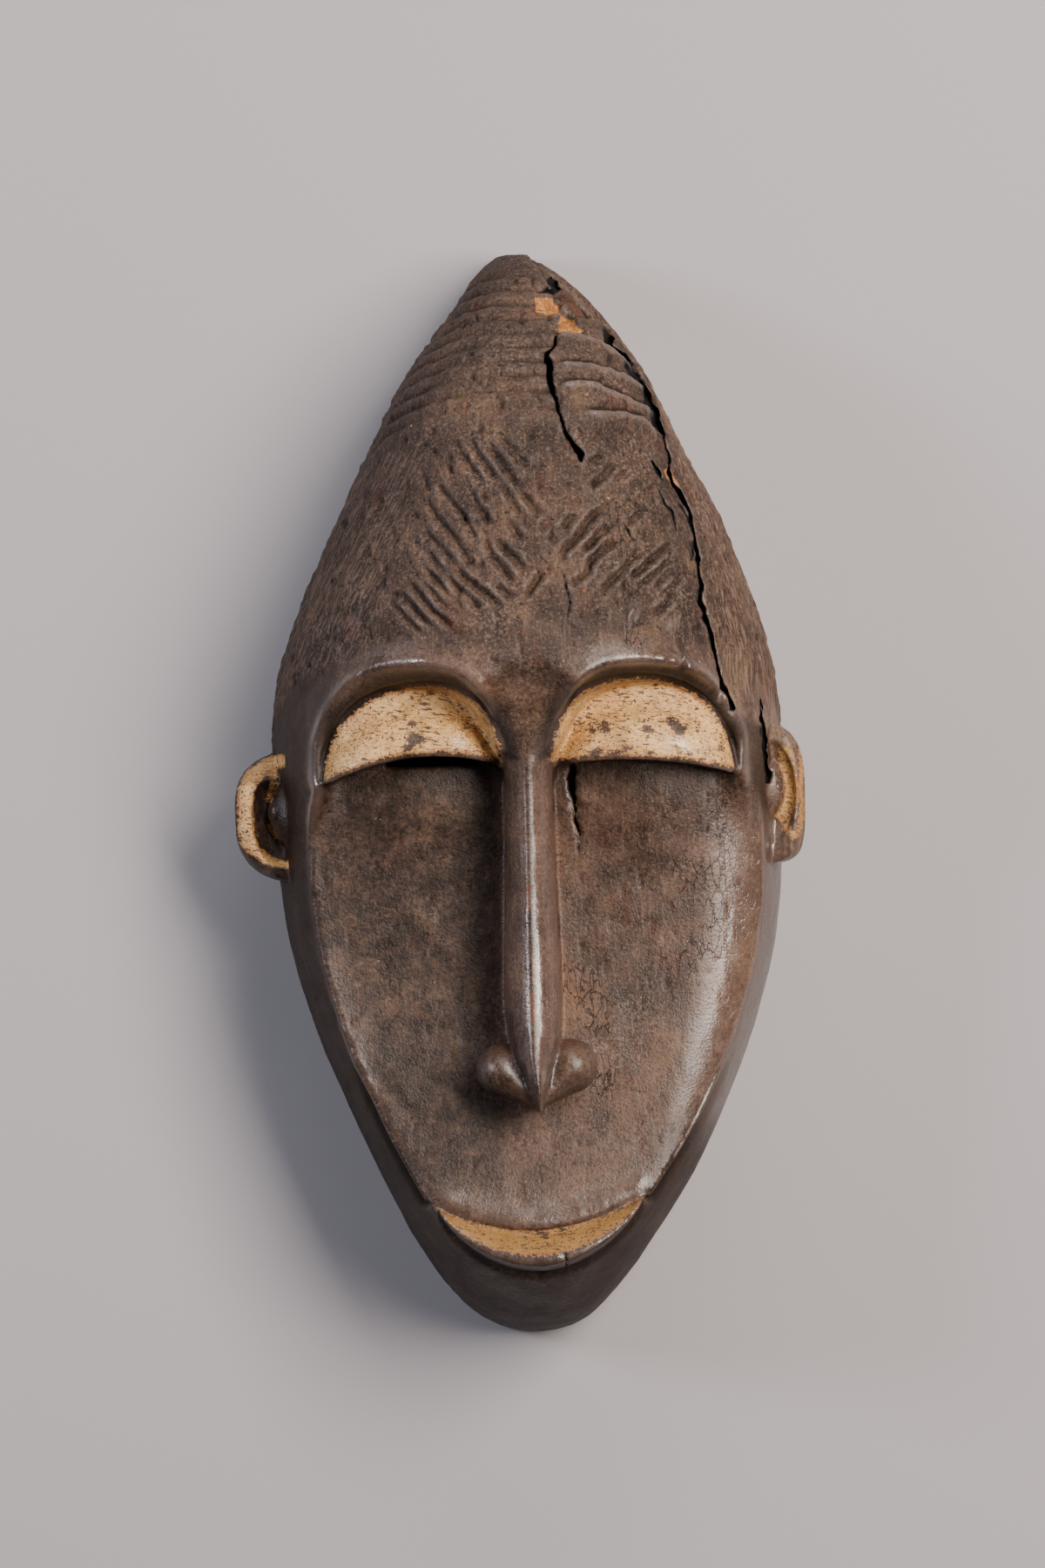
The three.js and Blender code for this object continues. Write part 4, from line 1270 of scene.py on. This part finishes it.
def make_mask():
    """Roughs out the block, works its surface, keeps the triangles that show, and sets it over the solid."""
    body = rough_out()
    remesh = body.modifiers.new("even skin", "REMESH")
    remesh.mode = "VOXEL"
    remesh.voxel_size = GRAIN_OF_MESH
    remesh.adaptivity = 0
    settle(body)
    soften(body, 0.5, 5)
    soften_edges(body)
    mesh = body.data
    points, normals = read_points(mesh)
    surface = Surface(points, normals).work()
    surface.pigment = np.clip(pigment(points), -5, 5)
    surface.flake = flaked(points)
    for name in WORKED:
        write_attribute(mesh, name, getattr(surface, name))
    # Cracks go straight down where the wood faces up, and into the wall where it is steep
    steep = 1 - smooth_step(normals[:, 2], 0.05, 0.25)
    into = normals * np.column_stack((steep, steep, np.ones(len(steep))))
    into /= np.linalg.norm(into, axis=1)[:, None] + 1e-6
    write_points(mesh, points + normals * surface.lift[:, None] - into * surface.drop[:, None])

    # The plain inside and the rim need few triangles, so the worked outside keeps most of them
    quiet = np.flatnonzero((surface.inside > 0.9) | (points[:, 2] < 0.6))
    group = body.vertex_groups.new(name="quiet")
    group.add(quiet.tolist(), 1.0, "REPLACE")
    thin_out(body, 1 - (1 - INSIDE_KEPT) * len(quiet) / len(points), "quiet")
    body.vertex_groups.clear()
    body.data.calc_loop_triangles()
    thin_out(body, min(1, TRIANGLES_KEPT / len(body.data.loop_triangles)))
    keep_largest(body)

    mesh = body.data
    points, normals = read_points(mesh)
    shift = np.array((SHIFT_ACROSS, 0, 0))
    low, high = (np.array(corner) * METRE - shift for corner in (solid_low, solid_high))
    points = np.clip(points, low, high)
    # By how far each place stands out, hollows get painted shade, and edges get painted highlight and are
    # made smoother
    bend = convexity(mesh, points, normals)
    for name, share in (("dark", -1.5), ("gloss", 2.2)):
        write_attribute(mesh, name, np.clip(np.maximum(read_attribute(mesh, name), bend * share), 0, 1))
    write_points(mesh, (points + shift) / METRE)
    mesh.shade_smooth()
    body.name = "carved_mask"
    mesh.name = "carved_mask"
    return body


# Materials


def colour(code):
    """A hex sRGB colour as linear values."""
    parts = [int(code[i : i + 2], 16) / 255 for i in (1, 3, 5)]
    linear = [part / 12.92 if part <= 0.04045 else ((part + 0.055) / 1.055) ** 2.4 for part in parts]
    return (*linear, 1)


# Irregular patterns: size in millimetres, detail, roughness, and any lengthening along axes with their turn
PATTERNS = {
    "broad": (38, 4, 0.55),
    "patches": (19, 4, 0.6),
    "dusty": (17, 4, 0.55),
    "clouds": (14, 4, 0.6),
    "middling": (9, 4, 0.6),
    "blotches": (6, 4, 0.65),
    "crumbs": (3.4, 3, 0.6),
    "spots": (2.4, 3, 0.55),
    "seeds": (1.9, 2, 0.5),
    "fine": (1.5, 4, 0.65),
    "specks": (1.2, 2, 0.55),
    "grit": (0.9, 3, 0.7),
    "pebble": (0.75, 2, 0.55),
    "grain": (1.2, 3, 0.6, (1, 8, 1), 0),
    "strands": (0.9, 2, 0.5, (1, 10, 1.7), -0.55),
    "brush": (0.7, 3, 0.6, (4, 1, 1), -0.12),
}
# Nets of fine cracks: size of the cells in millimetres, width of the line, and lengthening
NETS = {
    "skin_net": (2.6, 0.06, (1, 2.6, 1)),
    "paint_net": (2.8, 0.035, (2.4, 1, 1)),
}
# Values that the material works out from those on the points and the patterns, each a start and its steps
VALUES = {
    "mottle": (-0.475, ("broad", 1), ("middling", 0.7), ("fine", 0.25)),
    "dry_mottle": (0, ("mottle", 1), ("grain", 0.4)),
    "brushed": (0, ("middling", 0.6), ("brush", 0.4)),
    "hewn_tone": (0, ("grain", 0.7), ("middling", 0.3)),
    "crazed_where": (0, ("clouds", 1), ("crazing", 0.3)),
    "worn_edge": (-1.1, ("worn", 1), ("spots", 2.2)),
    "paint_edge": (-1.7, ("pigment", 1), ("fine", 3.4)),
    "torn": (-2, ("flake", 1), ("grit", 4)),
    "scuffed": (0, ("brush", 1), ("blotches", -0.5)),
    "jagged": (-0.55, ("crack", 1), ("grit", 1.1)),
    "crazed": (1, ("skin_net", 0, 1), ("crazed_where", 0.62, 0.76)),
    "cover": (
        1, ("paint_edge", -0.12, 0.12), ("pebble", 0.33, 0.37), ("scuffed", 0.1, 0.15), ("torn", 0.35, -0.2),
        ("crumbs", 0.7, 0.66),
    ),
    "coarse": (0.3, ("hair", 0.6)),
    "grainy": (0.2, ("weather", 0.8)),
    "strand_depth": (0, ("strand", 1.6)),
    "dulled": (1, ("gloss", -0.8)),
    "grit_height": (0, ("fine", 0.45), ("pebble", 0.3), ("grit", "coarse"), ("grain", "grainy")),
    "worked_height": (0, ("grit_height", 1), ("strands", "strand_depth"), ("crazed", -0.8)),
    "height": (0, ("worked_height", "dulled"), ("cover", 0.35)),
    "roughness": (
        0.14, ("fine", 0.3), ("middling", 0.3), ("hair", 0.27), ("weather", 0.08), ("dark", 0.18),
        ("cover", 0.12), ("side", 0.15), ("gloss", -0.28),
    ),
    "shine": (0.38, ("hair", -0.14), ("side", -0.16), ("dark", -0.05), ("soot", -0.03), ("gloss", 0.75)),
}
# Colours that follow a pattern, each the pattern and its stops
RAMPS = {
    "face": ("mottle", (0.3, "#33241B"), (0.5, "#4D3A2F"), (0.72, "#684F40")),
    "hair_tone": ("mottle", (0.3, "#2B201A"), (0.5, "#3E3028"), (0.74, "#584436")),
    "dry": ("dry_mottle", (0.45, "#3C2D24"), (0.7, "#564236"), (0.95, "#745D4B")),
    "ochre": ("brushed", (0.34, "#A07443"), (0.5, "#CC9E64"), (0.68, "#E8BF86")),
    "fresh": ("grain", (0.35, "#7E5029"), (0.52, "#A06C3A"), (0.65, "#BE8A54")),
    "hewn": ("hewn_tone", (0.4, "#4A3829"), (0.5, "#5D4734"), (0.62, "#76593F")),
}
# Coats of colour over one another: what each shows, how much of it, and the steps that place it
LAYERS = {
    "wood": ("face", [
        ("hair_tone", 1, [("hair", 0, 1)]),
        ("dry", 0.85, [("weather", 0, 1)]),
        ("#55301F", 0.5, [("clouds", 0.55, 0.72)]),
        ("#6A5438", 0.35, [("patches", 0.56, 0.7)]),
        ("#1D1411", 0.5, [("fine", 0.5, 0.3)]),
        ("#877060", 0.4, [("dusty", 0.46, 0.66), ("specks", 0.5, 0.64)]),
        ("#80695A", 0.25, [("grain", 0.52, 0.68)]),
        ("#7E695B", 0.4, [("strand", 0, 1), ("strands", 0.5, 0.62)]),
        ("#1F1612", 0.5, [("strand", 0, 1), ("strands", 0.47, 0.36)]),
        ("#9A5B2C", 0.9, [("crumbs", 0.67, 0.73), ("broad", 0.47, 0.6)]),
        ("#B89A78", 0.9, [("seeds", 0.76, 0.78)]),
        ("#8F7566", 0.3, [("grit", 0.56, 0.66)]),
        ("#1A120F", 0.5, [("grit", 0.45, 0.35)]),
        ("#8F7C6C", 0.25, [("hair", 0.2, 0.9), ("pebble", 0.6, 0.68)]),
        ("#120D0A", 0.8, [("hair", 0.2, 0.9), ("seeds", 0.36, 0.3)]),
        ("#5E3822", 0.7, [("stain", 0, 1), ("middling", 0.3, 0.55)]),
        # Sooty patina on the chin, and painted shade there, on the left of the face and on the nose's flat
        # top
        ("#120C09", 0.85, [("soot", 0, 1), ("blotches", 0.95, 0.3)]),
        # Painted shade on the steep sides
        ("#221610", 0.7, [("side", 0, 1)]),
        ("#8A7260", 0.4, [("weather", 0, 1), ("grain", 0.5, 0.64)]),
        ("#1A120E", 0.35, [("weather", 0, 1), ("grain", 0.46, 0.36)]),
        ("#5C3820", 0.85, [("worn_edge", -0.2, 0.2)]),
        ("#120C0A", 0.75, [("crazed", 0, 1)]),
        # Painted shade, near black, in grooves, creases, holes and hollows
        ("#140E0B", 0.85, [("dark", 0, 1)]),
        # Lighter where glossy: rubbed wood, and painted sheen
        ("#6E5A50", 0.3, [("gloss", 0, 1)]),
    ]),
    "paint": ("ochre", [
        ("#A07038", 0.55, [("spots", 0.56, 0.72)]),
        ("#98804F", 0.4, [("clouds", 0.5, 0.66)]),
        ("#7A5A36", 0.6, [("brush", 0.43, 0.34)]),
        ("#F0CE9A", 0.4, [("brush", 0.6, 0.7)]),
        # Darker paint on the lower lip and on the right ear
        ("#7E5A2A", 0.85, [("smoked", 0, 1)]),
        ("#5E4128", 0.75, [("paint_net", 0.2, 0.8), ("blotches", 0.46, 0.6)]),
        ("#5E4128", 0.6, [("grit", 0.42, 0.34)]),
        ("#7A4A26", 0.6, [("paint_edge", 1.3, 0.1)]),
    ]),
    "seen": ("wood", [
        ("paint", 1, [("cover", 0, 1)]),
        ("fresh", 1, [("bare", -0.1, 0.2)]),
        ("hewn", 1, [("inside", 0, 1)]),
        # Painted shade, near black, down in the cracks
        ("#0A0706", 1, [("jagged", -0.2, 0.12)]),
    ]),
}


def add(tree, kind, settings):
    """Adds a node. Each setting is a property, the value of an input, or the socket that feeds the input."""
    node = tree.nodes.new(kind)
    for name, value in settings.items():
        if isinstance(value, bpy.types.NodeSocket):
            tree.links.new(value, node.inputs[name])
        elif isinstance(name, str) and hasattr(node, name):
            setattr(node, name, value)
        else:
            node.inputs[name].default_value = value
    return node


def work_out(tree, made, start, steps):
    """Adds weight times source for a step of two, and scales by source from low to high for a step of three.
    A weight may be the name of a value too."""
    value = start
    for source, *by in steps:
        if len(by) == 1:
            settings = {"operation": "MULTIPLY_ADD", 0: made[source], 1: made.get(by[0], by[0]), 2: value}
            value = add(tree, "ShaderNodeMath", settings).outputs[0]
        else:
            settings = {"interpolation_type": "SMOOTHSTEP", "Value": made[source], "To Max": value}
            settings.update({"From Min": by[0], "From Max": by[1]})
            value = add(tree, "ShaderNodeMapRange", settings).outputs["Result"]
    return value


def hand_carved_hardwood():
    """Hardwood cut with adze and knife, darkened with smoke and oil, with ochre earth on lids, lip and ears.
    Dull and dusty in the hair, rubbed to a low gloss on face and edges, crazed where it has dried.
    Its colour also carries painted shade in grooves, cracks, hollows, on the steep sides and the left of the
    face, and painted sheen where it is glossy."""
    material = bpy.data.materials.new("hand_carved_hardwood_dark_patina")
    material.use_nodes = True
    tree = material.node_tree
    tree.nodes.clear()
    place = add(tree, "ShaderNodeTexCoord", {}).outputs["Object"]
    made = {}
    for name in WORKED:
        made[name] = add(tree, "ShaderNodeAttribute", {"attribute_name": name}).outputs["Fac"]
    for name, (size, detail, roughness, *stretch) in PATTERNS.items():
        longer, turn = stretch or ((1, 1, 1), 0)
        settings = {"vector_type": "TEXTURE", "Rotation": (0, 0, turn), "Scale": longer, "Vector": place}
        way = add(tree, "ShaderNodeMapping", settings).outputs[0]
        settings = {"Scale": 1 / (size * MM), "Detail": detail, "Roughness": roughness, "Vector": way}
        made[name] = add(tree, "ShaderNodeTexNoise", settings).outputs["Fac"]
    for name, (size, width, longer) in NETS.items():
        settings = {"vector_type": "TEXTURE", "Scale": longer, "Vector": place}
        way = add(tree, "ShaderNodeMapping", settings).outputs[0]
        settings = {"Scale": 1 / (0.6 * size * MM), "Detail": 3, "Vector": way}
        drift = add(tree, "ShaderNodeTexNoise", settings).outputs["Color"]
        settings = {"operation": "MULTIPLY_ADD", 0: drift, 1: (0.9 * size * MM,) * 3, 2: way}
        moved = add(tree, "ShaderNodeVectorMath", settings).outputs[0]
        settings = {"feature": "DISTANCE_TO_EDGE", "Scale": 1 / (size * MM), "Vector": moved}
        gap = add(tree, "ShaderNodeTexVoronoi", settings).outputs["Distance"]
        settings = {"interpolation_type": "SMOOTHSTEP", "Value": gap, "From Min": width, "From Max": 0}
        made[name] = add(tree, "ShaderNodeMapRange", settings).outputs["Result"]
    for name, (start, *steps) in VALUES.items():
        made[name] = work_out(tree, made, start, steps)
    for name, (source, *stops) in RAMPS.items():
        ramp = add(tree, "ShaderNodeValToRGB", {"Fac": made[source]})
        for _ in stops[2:]:
            ramp.color_ramp.elements.new(0.5)
        for element, (at, code) in zip(ramp.color_ramp.elements, stops):
            element.position = at
            element.color = colour(code)
        made[name] = ramp.outputs["Color"]
    for name, (under, coats) in LAYERS.items():
        shown = made[under]
        for coat, amount, steps in coats:
            share = work_out(tree, made, amount, steps)
            over = made[coat] if coat in made else colour(coat)
            settings = {"data_type": "RGBA", "Factor": share, 6: shown, 7: over}
            shown = add(tree, "ShaderNodeMix", settings).outputs[2]
        made[name] = shown
    settings = {"Strength": 0.75, "Distance": 0.4 * MM, "Height": made["height"]}
    bumps = add(tree, "ShaderNodeBump", settings).outputs["Normal"]
    settings = {"Base Color": made["seen"], "Roughness": made["roughness"], "IOR": 1.5, "Normal": bumps}
    settings["Specular IOR Level"] = made["shine"]
    shader = add(tree, "ShaderNodeBsdfPrincipled", settings)
    add(tree, "ShaderNodeOutputMaterial", {"Surface": shader.outputs["BSDF"]})
    return material


def pale_paper():
    """Matt pale paper under the mask."""
    material = bpy.data.materials.new("matt_pale_paper")
    material.use_nodes = True
    shader = material.node_tree.nodes["Principled BSDF"]
    shader.inputs["Base Color"].default_value = colour("#A8A5A8")
    shader.inputs["Roughness"].default_value = 0.9
    return material


def make_floor():
    sheet = bmesh.new()
    bmesh.ops.create_grid(sheet, x_segments=1, y_segments=1, size=3)
    floor = as_object("floor", sheet)
    floor.data.materials.append(pale_paper())
    floor.data.transform(Matrix.Translation((0, 0, -0.0003)))


# Camera over the mask, looking straight down as the photograph looks straight on
CAMERA_FOOT = (0.00096, 0.00335)
SENSOR = 36.0
PIXELS_HIGH = 1800
FOCAL_PIXELS = 9051


def make_camera():
    lens = bpy.data.cameras.new("camera")
    lens.sensor_width = SENSOR
    lens.lens = SENSOR * FOCAL_PIXELS / PIXELS_HIGH
    lens.clip_end = 20
    camera = bpy.data.objects.new("camera", lens)
    camera.location = (*CAMERA_FOOT, CAMERA_HEIGHT * MM)
    camera.rotation_euler = (0, 0, -PHOTO_ROLL)
    bpy.context.scene.collection.objects.link(camera)
    bpy.context.scene.camera = camera


# Soft lights: name, place in metres, width, height, watts and tint
LIGHTS = [
    ("key", (0.92, 0.45, 1.44), 1.3, 0.7, 62, "#FFF2E8"),
    ("side", (-1.15, 0.3, 0.8), 0.3, 0.3, 12, "#EAECFA"),
    ("top", (0.1, 1.5, 0.9), 0.8, 0.8, 7, "#FFFFFF"),
]
ROOM_STRENGTH = 0.1


def add_light(name, place, width, height, power, tint):
    """Soft light that faces the middle of the mask, its width level with the floor."""
    lamp = bpy.data.lights.new(name, "AREA")
    lamp.shape = "RECTANGLE"
    lamp.size = width
    lamp.size_y = height
    lamp.energy = power
    lamp.color = colour(tint)[:3]
    light = bpy.data.objects.new(name, lamp)
    light.location = place
    toward = Vector((0, 0, 0.05)) - Vector(place)
    light.rotation_euler = toward.to_track_quat("-Z", "Y").to_euler()
    bpy.context.scene.collection.objects.link(light)


def make_lights():
    for light in LIGHTS:
        add_light(*light)
    world = bpy.data.worlds.new("soft_room")
    world.use_nodes = True
    background = world.node_tree.nodes["Background"]
    background.inputs["Color"].default_value = colour("#D9D8DC")
    background.inputs["Strength"].default_value = ROOM_STRENGTH
    bpy.context.scene.world = world


mask = make_mask()
mask.data.materials.clear()
mask.data.materials.append(hand_carved_hardwood())
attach(mask, "root")
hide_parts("mask")
make_floor()
make_camera()
make_lights()
